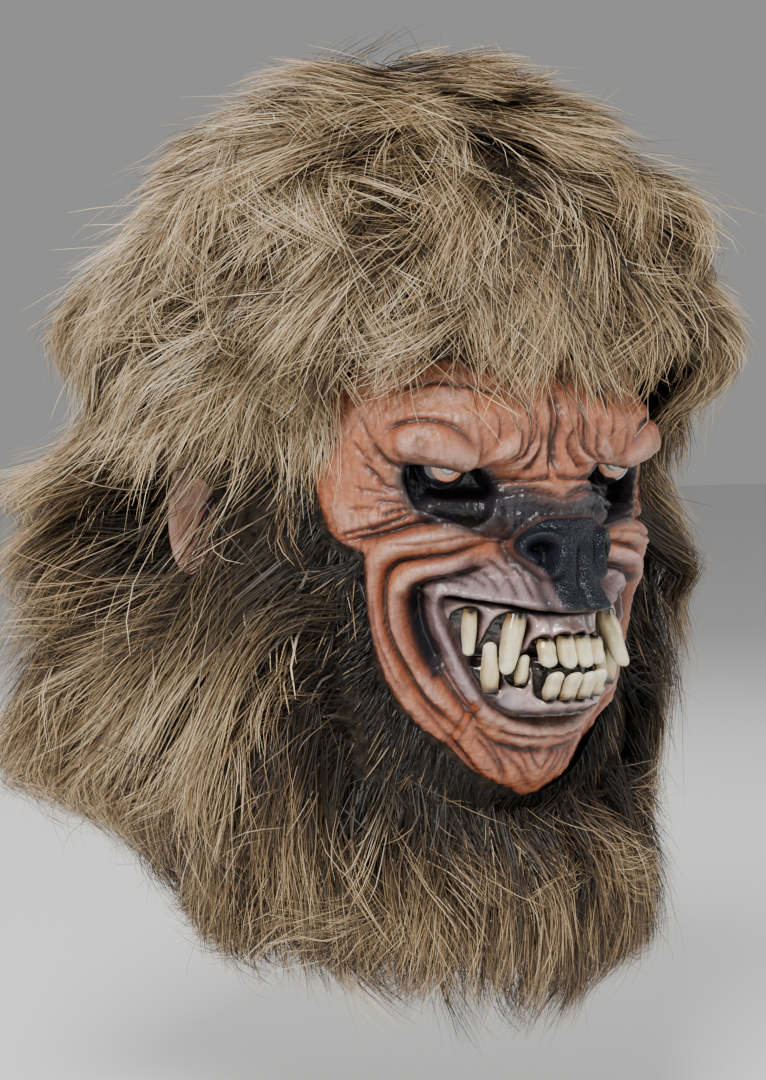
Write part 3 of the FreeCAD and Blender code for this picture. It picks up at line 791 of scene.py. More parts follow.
def tooth_marks(jaw, x, z):
    """At each point of a gum: the swelling over the roots and the distance to the nearest tooth."""
    upward = 1.0 if jaw == "upper" else -1.0
    swell = np.zeros(len(x))
    nearest = np.full(len(x), 50.0)
    for root_x, root, tip_x, tip, half in tooth_seats(jaw):
        neck = np.array([root_x, root - upward * half * 0.8])
        distance, _ = to_segment(np.stack([x, z], -1), neck, np.array([tip_x, tip]))
        nearest = np.minimum(nearest, distance - half)
        beyond = (z - root) * upward
        over_root = 2.6 * np.exp(-((x - root_x) / (half * 1.05)) ** 2) * smooth(-3.0, 2.0, beyond)
        swell = np.maximum(swell, over_root * (1.0 - 0.75 * smooth(4.0, 13.0, beyond)))
    return swell, nearest


def build_gum(jaw):
    """Wet gum with a swelling over each root and black stain round each neck; painted highlight on the
    swellings, painted shade beside the necks, in the hollows, along the edges under the lips, towards the
    back and on its hidden side.
    """
    low, high = node_box(jaw + "_gum")
    columns = np.linspace(-55.0, 55.0, 276)
    rows = low[2] + (high[2] - low[2]) * np.linspace(0.0, 1.0, 88)
    x, z = [values.ravel() for values in np.meshgrid(columns, rows, indexing="ij")]
    swell, nearest = tooth_marks(jaw, x, z)
    collar = 1.7 * bump(nearest, 2.6, 1.2)
    point = np.stack([x, z, 0.0 * x], -1)
    lumps = fractal(point, 11.0, 3, 31) * 0.55
    edge = np.minimum(z - low[2], high[2] - z)
    forward = arch_front(x) + swell + collar + lumps - 1.3 - 5.0 * (1.0 - smooth(0.0, 6.5, edge)) ** 2
    forward = forward - 2.2 * (1.0 - smooth(-0.4, 1.2, nearest))
    angle = -np.abs(np.degrees(np.arctan2(x, forward)))
    lips = signed_distance(flat(angle, z), outline(MOUTH))
    forward = forward - 11.0 * smooth(-2.5, 3.0, lips)
    front = np.stack([x, -forward, z], -1).reshape(len(columns), len(rows), 3)
    back = front[:, ::-8].copy()
    back[:, :, 1] = -arch_front(back[:, :, 0]) + 9.0
    loops = np.concatenate([front, back], 1)
    faces = grid_faces(len(columns), loops.shape[1], wrap=True)
    gum = mesh_object(jaw + "_gum_ridge", loops.reshape(-1, 3), faces)
    valley = smooth(0.2, 1.4, -lumps * 2.0) * (1.0 - smooth(0.3, 1.4, swell))
    # pale on the swellings is painted highlight; brown by the necks, dark at the edges, behind the lips, at
    # the ends and in the valleys is painted shade
    colour = layered(GUM_PINK, len(x),
                     (GUM_VIOLET, smooth(-0.2, 0.9, fractal(point, 16.0, 2, 32))),
                     (GUM_HIGHLIGHT, 0.6 * smooth(0.8, 2.4, swell + 0.8 * collar)),
                     (GUM_NECK_SHADE, 0.7 * (1.0 - smooth(1.2, 3.4, nearest))),
                     (NECK_BLACK, 1.0 - smooth(0.7, 1.9, nearest)),
                     (GUM_EDGE_SHADE, 0.9 * (1.0 - smooth(1.0, 5.5, edge))),
                     (GUM_EDGE_SHADE, 0.92 * smooth(-3.4, -0.6, lips)),
                     (GUM_END_SHADE, 0.85 * smooth(40.0, 50.0, np.abs(x))),
                     (GUM_VALLEY_SHADE, 0.6 * valley))
    # the hidden back of the gum painted dark as shade
    full = np.tile(np.array(GUM_BACK_SHADE), (*loops.shape[:2], 1))
    full[:, :len(rows)] = colour.reshape(len(columns), len(rows), 3)
    paint(gum, "gum_colour", np.clip(full.reshape(-1, 3), 0.004, 1.0))
    return gum


def rounded_power(wave, power):
    return np.sign(wave) * np.abs(wave) ** power


def tooth_points(x, root, tip, width, depth, lean, curl, left, squareness, seed):
    """Rings of one tooth from inside the gum to a rounded end, and where each ring is, 0 to 1."""
    rings, around, end_rings, end = 30, 36, 8, 0.1
    rounding = end * np.sin(np.linspace(0.1, 1.0, end_rings) * math.pi / 2)
    t = np.concatenate([np.linspace(-0.06, 1.0 - end, rings - end_rings), 1.0 - end + rounding])
    spin = np.linspace(0.0, 2.0 * math.pi, around, endpoint=False)
    body = 1.0 - (1.0 - left) * np.clip(t, 0.0, 1.0) ** 1.7
    body = body * (0.84 + 0.16 * smooth(-0.06, 0.3, t))
    blunt = min(0.5 * width * left / abs(tip - root), 0.3)
    cap = np.sqrt(np.clip(1.0 - (np.clip(t - 1.0 + blunt, 0.0, blunt) / (blunt * 1.004)) ** 2, 0.0, 1.0))
    local = np.random.default_rng(seed)
    ridge = (1.0 + 0.025 * np.sin(spin * 5.0 + local.uniform(0, 6))
             + 0.018 * np.sin(spin * 9.0 + local.uniform(0, 6)))
    wobble = 1.0 + 0.03 * np.sin(t * 11.0 + local.uniform(0, 6))
    scale = (body * cap * wobble)[:, None]
    centre_y = -arch_front(x) - 0.18 * depth - curl * (0.25 + 0.75 * np.clip(t, 0, 1) ** 1.4)
    power = 2.0 / squareness
    points = np.empty((rings, around, 3))
    across, ahead = rounded_power(np.cos(spin), power) * ridge, rounded_power(np.sin(spin), power) * ridge
    points[:, :, 0] = (x + lean * t)[:, None] + 0.5 * width * scale * across
    points[:, :, 1] = centre_y[:, None] + 0.5 * depth * scale * ahead
    points[:, :, 2] = (root + (tip - root) * t)[:, None]
    return points, np.repeat(t, around), np.tile(spin, rings)


def tooth_paint(points, t, spin, index):
    """Ivory, stained brown, with painted shade on the sides that face the next teeth, and black at the neck.
    """
    streak = fractal(points * np.array([1.0, 1.0, 0.25]), 3.2, 2, 50 + index)
    blotch = fractal(points, 7.0, 2, 60 + index)
    side_on = np.abs(np.cos(spin)) ** 6
    return layered(IVORY, len(points),
                   (STAIN, 0.55 * smooth(-0.1, 1.0, streak) + 0.25 * smooth(0.0, 1.0, blotch)),
                   (CREAM, 0.7 * smooth(0.45, 0.8, t) * (1.0 - smooth(0.9, 1.0, t))),
                   (ROOT_BROWN, 0.85 * (1.0 - smooth(0.03, 0.24, t + 0.05 * streak))),
                   (ROOT_BLACK, 1.0 - smooth(0.0, 0.085, t + 0.02 * streak)),
                   # the sides facing the next teeth darkened as painted shade
                   (GAP_SHADE, 0.55 * side_on * (1.0 - smooth(0.75, 0.95, t))))


def build_teeth(name, teeth, squareness):
    """One mesh of one or more teeth."""
    all_points, all_faces, all_colours = [], [], []
    for index, tooth in enumerate(teeth):
        points, t, spin = tooth_points(*tooth, squareness, 40 + index + len(name))
        rings, around = points.shape[:2]
        points = points.reshape(-1, 3)
        all_faces.append(grid_faces(rings, around, wrap=True) + index * len(points))
        all_points.append(points)
        all_colours.append(tooth_paint(points, t, spin, index))
    made = mesh_object(name, np.vstack(all_points), np.vstack(all_faces))
    paint(made, "tooth_colour", np.clip(np.vstack(all_colours), 0.004, 1.0))
    return made


def build_incisors(jaw):
    teeth = [(x, root, edge, width, INCISOR_DEPTH, 0.0, lean, INCISOR_TIP)
             for x, root, edge, width, lean in INCISORS[jaw]]
    return build_teeth(jaw + "_incisor_row", teeth, INCISOR_SQUARENESS)


def build_fang(side, sign, name, x, root, tip, width, depth, lean, curl, left):
    tooth = (sign * x, root, tip, width, depth, sign * lean, curl, left)
    return build_teeth("%s_%s_fang" % (name, side), [tooth], FANG_SQUARENESS)


# ---------------------------------------------------------------- ears
def build_ear(side, sign):
    """A cupped ear with a rolled edge, darker inside the cup as painted shade."""
    low, high = node_box(side + "_ear")
    centre = 0.5 * (low + high)
    u = np.linspace(-1.0, 1.0, 60)
    uu, vv = np.meshgrid(u, np.linspace(-1.0, 1.0, 44), indexing="ij")
    width = 17.5 * np.sqrt(np.clip(1.0 - uu ** 2, 0.0, 1.0)) * (1.0 - 0.22 * uu)
    rim = np.maximum(np.abs(vv), np.abs(uu) ** 1.5)
    out = -5.5 + 12.5 * rim ** 2.4 + 2.2 * bump(rim, 0.86, 0.10) - 2.0 * bump(rim, 0.66, 0.08)
    fold = 2.6 * bump(vv + 0.25 + 0.25 * uu, 0.0, 0.14) * (1.0 - smooth(0.4, 0.8, np.abs(uu)))
    aside = sign * (abs(centre[0]) + out + fold)
    front = np.stack([aside, centre[1] + width * vv, centre[2] + 30.5 * uu], -1)
    back = front[:, ::-1].copy()
    back[:, :, 0] -= sign * LATEX
    loops = np.concatenate([front, back], 1)
    points = loops.reshape(-1, 3)
    ear = mesh_object(side + "_ear_shell", points, grid_faces(len(u), loops.shape[1], wrap=True))
    hollow = np.concatenate([(1.0 - smooth(0.2, 0.75, rim)), np.zeros_like(rim)], 1).ravel()
    # the inside of the cup is darker as painted shade
    colour = layered((0.66, 0.36, 0.26), len(points),
                     ((0.80, 0.56, 0.46), smooth(-0.3, 0.9, fractal(points, 18.0, 3, 71))),
                     ((0.22, 0.07, 0.04), 0.75 * hollow))
    paint(ear, "ear_colour", np.clip(colour, 0.01, 1.0))
    return ear


# ---------------------------------------------------------------- fur
# Outline of the hair seen from the two quarter sides: height and distance from the axis.
RIGHT_BACK_REACH = np.array([
    (-53, 60), (-27, 80), (7, 104), (29, 126), (42, 158), (52, 178), (85, 174), (118, 172), (141, 174),
    (163, 160), (174, 172), (190, 148), (207, 132), (219, 134), (241, 152), (263, 141), (286, 122),
    (308, 110), (330, 94), (341, 77), (352, 54), (371, 14),
], float)
LEFT_FRONT_REACH = np.array([
    (-53, 72), (-38, 88), (-27, 108), (-4, 115), (29, 112), (62, 118), (96, 128), (129, 118), (141, 146),
    (152, 138), (174, 121), (185, 118), (196, 142), (219, 155), (241, 149), (252, 144), (270, 130),
    (286, 141), (308, 130), (319, 107), (341, 84), (352, 62), (363, 41), (371, 14),
], float)
REACHES = ((RIGHT_BACK_REACH, -126.0, 20.0), (LEFT_FRONT_REACH, 54.0, 18.0))     # angle and width of each
# Lowest hair tips: angle from straight ahead and height.
LOW_EDGE = np.array([(0, -53), (20, -50), (40, -36), (81, -22), (112, 6), (140, 28), (180, 28)], float)
CHIN_TURN, CHEEK_TURN, FLANK_TURN = 24.0, 81.0, 128.0      # seams between the panels below the crown
CROWN_LOW = 238.0        # the crown panel starts at this height
CLOTH_TOP = CROWN_LOW - 1.0
BEARD_TOP = 45.0
CROWN_TOP = 371.4
FRINGE_LOW = 229.0       # the fringe over the forehead ends about here
UNDER = 0.42             # the undercoat fills this much of the hair's depth
CROWN_UNDER = 0.765      # over the crown it lies this share of the way out to the tips
COATS_FROM = 2.5         # fur cloth over the latex
TINTS = 32
EAR_TURN, EAR_HEIGHT = 99.0, 166.0
EDGE_TURN_STEP, EDGE_RISE_STEP, EDGE_FROM = 2.0, 4.0, -60.0
FUR_TURN_STEP, RUN_STEP = 3.0, 2.0
MOST_TRIANGLES = 190000  # in one mesh of hair
# Hair past these distances from the origin is eased in, to stay within the room that follows.
SIDE_LIMIT, DEPTH_LIMIT, LOW_LIMIT, HIGH_LIMIT = (158.0, 15.0), (164.0, 15.0), (58.0, 14.0), (378.0, 13.0)


def pile_radius(degrees, z):
    """Outside of the hair at an angle and height."""
    angle = np.radians(degrees)
    half, front, back, power = [np.interp(z, PILE_Z, column) for column in PILE_COLUMNS]
    ahead = np.cos(angle) >= 0.0
    radius = oval(angle, half, np.where(ahead, front, back), np.where(ahead, PILE_FRONT_SQUARENESS, power))
    for rows, turn, width in REACHES:
        share = bump(wrapped(degrees - turn), 0.0, width)
        radius = radius + (np.interp(z, rows[:, 0], rows[:, 1]) - radius) * share
    return radius


def tabled(table, column, row):
    """Reads a table of numbers or points between its entries."""
    c0, r0 = np.floor(column).astype(int), np.floor(row).astype(int)
    c1, r1 = np.minimum(c0 + 1, table.shape[0] - 1), np.minimum(r0 + 1, table.shape[1] - 1)
    fc, fr = column - c0, row - r0
    if table.ndim == 3:
        fc, fr = fc[..., None], fr[..., None]
    return ((table[c0, r0] * (1 - fc) + table[c1, r0] * fc) * (1 - fr)
            + (table[c0, r1] * (1 - fc) + table[c1, r1] * fc) * fr)


def edge_table():
    """0.1 on the bare face and 1 well away from its edge, by angle and height."""
    turns = np.arange(-180.0, 0.1, EDGE_TURN_STEP)
    heights = np.arange(EDGE_FROM, 376.1, EDGE_RISE_STEP)
    turn, z = np.meshgrid(turns, heights, indexing="ij")
    distance = signed_distance(flat(turn.ravel(), z.ravel()), outline(FACE))
    return (0.10 + 0.90 * smooth(0.0, 42.0, distance)).reshape(turn.shape)


EDGE_TABLE = edge_table()


def face_edge(degrees, z):
    """0.1 on the bare face, rising to 1 well away from its edge."""
    column = np.clip((180.0 - np.abs(degrees)) / EDGE_TURN_STEP, 0.0, EDGE_TABLE.shape[0] - 1.0)
    row = np.clip((z - EDGE_FROM) / EDGE_RISE_STEP, 0.0, EDGE_TABLE.shape[1] - 1.0)
    return tabled(EDGE_TABLE, column, row)


def thickness(degrees, z):
    """How much of its full depth the hair has: thin along the edge of the face."""
    return np.maximum(face_edge(degrees, z), smooth(192.0, 242.0, z))


def near_ear(degrees, z, wide, high):
    """Squared distance from the ear's middle, 1 on an oval of the given half sizes."""
    return ((np.abs(degrees) - EAR_TURN) / wide) ** 2 + ((z - EAR_HEIGHT) / high) ** 2


def coat_radii(degrees, z):
    """Radius of the undercoat and of the hair tips, beside the head."""
    head = head_radius(degrees, np.clip(z, 0.0, CROWN_LOW)) + COATS_FROM
    full = np.maximum(pile_radius(degrees, z) - head, 2.0)
    depth = full * thickness(degrees, z)
    ear = np.exp(-near_ear(degrees, z, 15.0, 30.0) ** 2)
    return head + depth * UNDER * (1.0 - 0.92 * ear), head + depth


def coats(degrees, z):
    """Points of the undercoat and of the hair tips; over the crown both close in from the tips."""
    under, tips = coat_radii(degrees, np.minimum(z, CROWN_LOW))
    share = under / tips
    share = share + (CROWN_UNDER - share) * smooth(CROWN_LOW, 330.0, z)
    radius = np.where(z > CROWN_LOW, pile_radius(degrees, z), tips)
    outer = placed(radius * (1.0 - smooth(365.0, 371.5, z)), degrees, z)
    centre_z = np.minimum(z, CROWN_LOW)
    inner = outer * share[..., None]
    inner[..., 2] = centre_z + (z - centre_z) * share
    return inner, outer


def lowest_tip(degrees):
    return np.interp(np.abs(degrees), LOW_EDGE[:, 0], LOW_EDGE[:, 1])


def fur_runs():
    """Undercoat and tip surfaces tabled by angle and by distance run down from the crown."""
    turns = np.arange(-180.0, 180.1, FUR_TURN_STEP)
    heights = np.concatenate([np.linspace(CROWN_TOP, 366.0, 16), np.arange(365.0, -90.0, -1.0)])
    runs = np.arange(0.0, 640.0, RUN_STEP)
    tables = np.empty((2, len(turns), len(runs), 3))
    low_run = np.empty(len(turns))
    for k, turn in enumerate(turns):
        surfaces = coats(np.full(len(heights), turn), heights)
        steps = np.linalg.norm(np.diff(surfaces[1], axis=0), axis=1)
        run = np.concatenate([[0.0], np.cumsum(steps)])
        for table, surface in zip(tables, surfaces):
            for axis in range(3):
                table[k, :, axis] = np.interp(runs, run, surface[:, axis])
        low_run[k] = np.interp(-lowest_tip(turn), -heights, run)
    return turns, tables, low_run


FUR_TURNS, FUR_TABLES, LOW_RUN = fur_runs()


def fur_place(degrees, run):
    """Undercoat and tip points for angles and runs, blended from the tables."""
    column = ((degrees + 180.0) % 360.0) / FUR_TURN_STEP
    row = np.clip(run / RUN_STEP, 0.0, FUR_TABLES.shape[2] - 1.001)
    return [tabled(table, column, row) for table in FUR_TABLES]


def root_places(count, local):
    """Random places on the fur where hair may start, even by area but thinner round the back."""
    turns, runs = np.empty(0), np.empty(0)
    while len(turns) < count:
        t = local.uniform(-180.0, 180.0, 4 * count)
        s = local.uniform(2.0, 600.0, 4 * count)
        inner, outer = fur_place(t, s)
        z = outer[:, 2]
        start = 0.105 + 0.24 * smooth(62.0, 90.0, z) * (1.0 - smooth(165.0, 192.0, z))
        start = start + 0.30 * smooth(92.0, 125.0, z) * (1.0 - smooth(160.0, 180.0, z))
        bare = (face_edge(t, z) < start) & (z < 236.0)
        below = z < np.maximum(lowest_tip(t) + 20.0, 3.0)
        ear = near_ear(t, z, 11.0, 24.0) < 1.0
        reach = np.maximum(np.hypot(inner[:, 0], inner[:, 1]), 8.0)
        density = 1.0 - 0.35 * smooth(120.0, 170.0, np.abs(t + 10.0))
        keep = ~bare & ~below & ~ear & (local.uniform(0.0, 160.0, len(t)) < reach * density)
        turns, runs = np.concatenate([turns, t[keep]]), np.concatenate([runs, s[keep]])
    return turns[:count], runs[:count]


# Partings, darker by painted shade where the roots show: angle, height, size in millimetres.
PARTINGS = [(-22, 330, 26), (2, 300, 22), (-66, 300, 24), (-48, 276, 20), (22, 262, 18), (-92, 236, 20),
            (-112, 196, 24), (-70, 215, 16), (-96, 120, 22), (-58, 96, 18), (-128, 130, 26), (60, 300, 20),
            (88, 250, 24), (120, 200, 30), (170, 250, 30), (-160, 170, 30), (150, 120, 30)]
PARTING_DEGREE = 1.9     # millimetres to a degree where the partings are measured


def parting_share(t, z):
    """1 in the middle of a parting, 0 away from them."""
    share = np.zeros(np.shape(t))
    for turn, height, size in PARTINGS:
        across = wrapped(t - turn) * PARTING_DEGREE
        share = np.maximum(share, np.exp(-((across / size) ** 2 + ((z - height) / size) ** 2)))
    return share


def comb(t, z, local):
    """Which way the hair lies, in degrees from straight down, positive to the wearer's left."""
    away = smooth(18.0, 62.0, np.abs(t)) * (1.0 - 0.75 * smooth(120.0, 165.0, np.abs(t)))
    away = away * (1.0 - 0.6 * smooth(228.0, 275.0, z)) * smooth(-10.0, 90.0, z)
    lie = np.sign(t) * away * 40.0
    u, v = t * 0.02, z * 0.016
    swirl = (np.sin(u * 2.1 + v * 3.3 + 0.6) + np.sin(u * 3.7 - v * 4.9 + 2.2)
             + np.sin(v * 8.0 + u * 6.0))
    lie = lie + 15.0 * swirl * (0.55 + 0.9 * smooth(215.0, 260.0, z))
    return lie + local.normal(0.0, 13.0 + 14.0 * smooth(225.0, 270.0, z))


def tint_at(t, z):
    """Base shade of the hair: cream over the right of the crown as a painted highlight where the light falls,
    tan at the sides, taupe low down, and darker on the left below the crown as painted shade.
    """
    # lighter on the wearer's right is painted highlight, darker on the wearer's left is painted shade
    shade = 0.62 + 0.14 * bump(t, -78.0, 45.0) * smooth(90.0, 220.0, z)
    return (shade - 0.14 * (1.0 - smooth(20.0, 110.0, z))
            - 0.14 * smooth(25.0, 60.0, t) * (1.0 - smooth(170.0, 240.0, z)))


def soft_limit(value, start, room):
    """Values past start are eased in so that none passes start + room."""
    over = np.maximum(np.abs(value) - start, 0.0)
    return np.sign(value) * (np.minimum(np.abs(value), start) + room * (1.0 - np.exp(-over / room)))


def walk(c, length, lie, curl, t):
    """Angles and runs along each strand as it is combed down over the tips' surface."""
    turn, run = np.empty((2, len(length), len(t)))
    turn[:, 0], run[:, 0] = c.turn, c.run
    for k in range(1, len(t)):
        sway = np.radians(7.0) * np.sin(c.phase + 5.5 * t[k])
        heading = lie * (1.0 - 0.35 * t[k]) + curl * t[k] + sway
        _, outer = fur_place(turn[:, k - 1], run[:, k - 1])
        reach = np.maximum(np.hypot(outer[:, 0], outer[:, 1]), 28.0)
        step = length * (t[k] - t[k - 1])
        turn[:, k] = turn[:, k - 1] + np.degrees(step * np.sin(heading) / reach)
        run[:, k] = run[:, k - 1] + step * np.cos(heading)
    return turn, run


def shorten(c, turn, run, local):
    """Runs squeezed so that the strands end near the lowest tips."""
    limit = np.interp(wrapped(turn[:, -1]), FUR_TURNS, LOW_RUN) + c.past + local.normal(0.0, 3.0, len(run))
    limit = np.maximum(limit, run[:, 0] + 14.0)
    squeeze = np.minimum((limit - run[:, 0]) / np.maximum(run[:, -1] - run[:, 0], 1.0), 1.0)
    return run[:, :1] + (run - run[:, :1]) * squeeze[:, None]


def grow(clumps, local, steps, frizz, pinch, spread):
    """Strands of a list of clumps: points, outward directions, root angle and height, and tint."""
    owner = np.repeat(np.arange(len(clumps["turn"])), clumps["strands"])
    count = len(owner)
    c = SimpleNamespace(**{key: values[owner] for key, values in clumps.items()})
    ring = np.sqrt(local.uniform(0.0, 1.0, count)) * spread * c.size
    spin = local.uniform(0.0, 2.0 * math.pi, count)
    t = np.linspace(0.0, 1.0, steps)
    length = c.length * local.uniform(0.72, 1.08, count)
    lie = np.radians(c.lie + local.normal(0.0, 3.5, count))
    curl = np.radians(c.curl + local.normal(0.0, 5.0, count))
    turn, run = walk(c, length, lie, curl, t)
    run = shorten(c, turn, run, local)
    inner, outer = fur_place(turn, run)
    _, first = fur_place(c.turn, c.run)
    top = c.top + local.normal(0.0, 0.05, count) - 0.03 * smooth(300.0, 345.0, first[:, 2])
    rise = 1.0 - (1.0 - t) ** 1.7
    height = c.start[:, None] + (top - c.start)[:, None] * rise + c.flick[:, None] * t ** 2.5
    points = inner + (outer - inner) * height[..., None]
    angle = np.radians(turn)
    across = np.stack([np.cos(angle), np.sin(angle), np.zeros_like(angle)], -1)
    out = unit(outer - inner)
    gather = 1.0 - pinch * c.pinch[:, None] * t ** 0.9
    wave = local.normal(0.0, frizz, (3, count)) * c.loose
    tail = t ** 1.6
    off = [(ring * wind)[:, None] * gather for wind in (np.cos(spin), np.sin(spin))]
    points += across * (off[0] + wave[0][:, None] * tail)[..., None]
    points += np.cross(out, across) * (off[1] + wave[1][:, None] * tail)[..., None]
    points += out * (np.maximum(wave[2], -2.0)[:, None] * tail)[..., None]
    x, y, z = np.moveaxis(points, -1, 0)
    z = np.where(z < 0.0, soft_limit(z, *LOW_LIMIT), soft_limit(z, *HIGH_LIMIT))
    points = np.stack([soft_limit(x, *SIDE_LIMIT), soft_limit(y, *DEPTH_LIMIT), z], -1)
    tint = c.tint + local.normal(0.0, 0.15, count) - 0.30 * (local.uniform(0.0, 1.0, count) < 0.20)
    return dict(points=points, out=out, turn=wrapped(c.turn), z=outer[:, 0, 2], tint=tint)


def forehead_clear(strands, local, spare):
    """Which strands keep off the eyes, and mostly off the ears and the forehead."""
    points = strands["points"]
    count = len(points)
    turn = np.degrees(np.arctan2(points[..., 0], -points[..., 1]))
    z = points[..., 2]
    tip = turn[:, -1]
    ragged = (9.0 * np.sin(tip * 0.21 + 0.9) + 6.0 * np.sin(tip * 0.47 + 2.0)
              - 14.0 * bump(tip, 8.0, 9.0) + 5.0 * bump(tip, -26.0, 12.0))
    low = FRINGE_LOW + spare + ragged + local.normal(0.0, 8.0, count)
    low = low - 30.0 * (local.uniform(0.0, 1.0, count) < 0.05)
    bare = (np.abs(turn) < 49.0) & (z < low[:, None]) & (z > 60.0)
    ear = near_ear(turn[:, 1:], z[:, 1:], 10.0, 22.0) < 1.0
    reach = np.hypot(points[..., 0], points[..., 1])
    before = (np.abs(turn) > 66.0) & (np.abs(turn) < 104.0) & (z > 144.0) & (z < 180.0) & (reach > 104.0)
    covered = ear.any(axis=1) & (local.uniform(0.0, 1.0, count) < 0.9)
    covered |= before.any(axis=1) & (local.uniform(0.0, 1.0, count) < np.where(tip < 0.0, 0.86, 0.45))
    return ~(bare.any(axis=1) | covered)


def fur_node(turn, z):
    """The panel that a hair grows from."""
    side = np.where(turn < 0.0, "right", "left")
    names = np.where(np.abs(turn) < CHIN_TURN, "beard_fur", np.char.add(side, "_cheek_fur"))
    names = np.where(np.abs(turn) >= CHEEK_TURN, np.char.add(side, "_side_fur"), names)
    names = np.where(np.abs(turn) >= FLANK_TURN, "nape_fur", names)
    return np.where(z > CROWN_LOW, "crown_fur", names)


def ribbons(name, points, out, width, tint, roll):
    """Tapering ribbons, one per hair, in one mesh; the baking layer holds tint across, root to tip along."""
    count, steps = points.shape[:2]
    tangent = np.gradient(points, axis=1)
    side = unit(np.cross(tangent, out))
    lift = unit(np.cross(side, tangent))
    side = side * np.cos(roll)[:, None, None] + lift * np.sin(roll)[:, None, None]
    t = np.linspace(0.0, 1.0, steps)
    profile = 0.75 + 0.25 * smooth(0.0, 0.2, t) - 0.88 * t ** 2.6
    half = (0.5 * width[:, None] * profile)[..., None]
    verts = np.stack([points - side * half, points + side * half], 2).reshape(-1, 3)
    base = (np.arange(count) * steps * 2)[:, None, None]
    k = np.arange(steps - 1)[None, :, None] * 2
    faces = (base + k + np.array([0, 1, 3, 2])).reshape(-1, 4)
    hair = raw_mesh(name, (verts * MM).astype(np.float32), faces.astype(np.int32))
    level = np.clip((tint * TINTS).astype(int), 0, TINTS - 1)
    u = (level[:, None, None] + np.array([0.0, 1.0, 1.0, 0.0])) / TINTS
    v = np.stack([t[:-1], t[:-1], t[1:], t[1:]], -1)[None]
    uv = np.stack(np.broadcast_arrays(u, v), -1).astype(np.float32)
    hair.data.uv_layers.new(name="OFBake").data.foreach_set("uv", np.ascontiguousarray(uv).ravel())
    return hair


def clump_set(local, count, strands, length, top, start, flick, tint, cross):
    """Random clumps with their lie, length and height in the coat."""
    turn, run = root_places(count, local)
    _, outer = fur_place(turn, run)
    z = outer[:, 2]
    part = parting_share(turn, z)
    near_edge = 1.0 - smooth(0.15, 0.8, thickness(turn, z))
    length = local.uniform(*length, count) * (1.0 - 0.42 * near_edge) * (1.0 - 0.25 * part)
    top = top[0] + (top[1] - top[0]) * local.uniform(0.0, 1.0, count) ** 0.7
    return dict(
        turn=turn, run=run, strands=np.maximum((strands * (1.0 - 0.6 * part)).astype(int), 3),
        size=local.uniform(0.7, 1.3, count), length=length,
        lie=comb(turn, z, local) + local.normal(0.0, cross, count),
        curl=local.normal(0.0, 22.0, count), phase=local.uniform(0.0, 6.28, count),
        past=local.normal(-4.0, 6.0, count), start=np.full(count, start), top=top,
        flick=np.abs(local.normal(0.0, flick, count)), pinch=local.uniform(0.45, 1.0, count),
        loose=local.uniform(0.6, 1.5, count),
        # clumps in the partings darkened as painted shade; the random dark clumps are tone
        tint=tint_at(turn, z) + local.normal(tint, 0.14, count) - 0.10 * part
        - 0.36 * (local.uniform(0.0, 1.0, count) < 0.26))


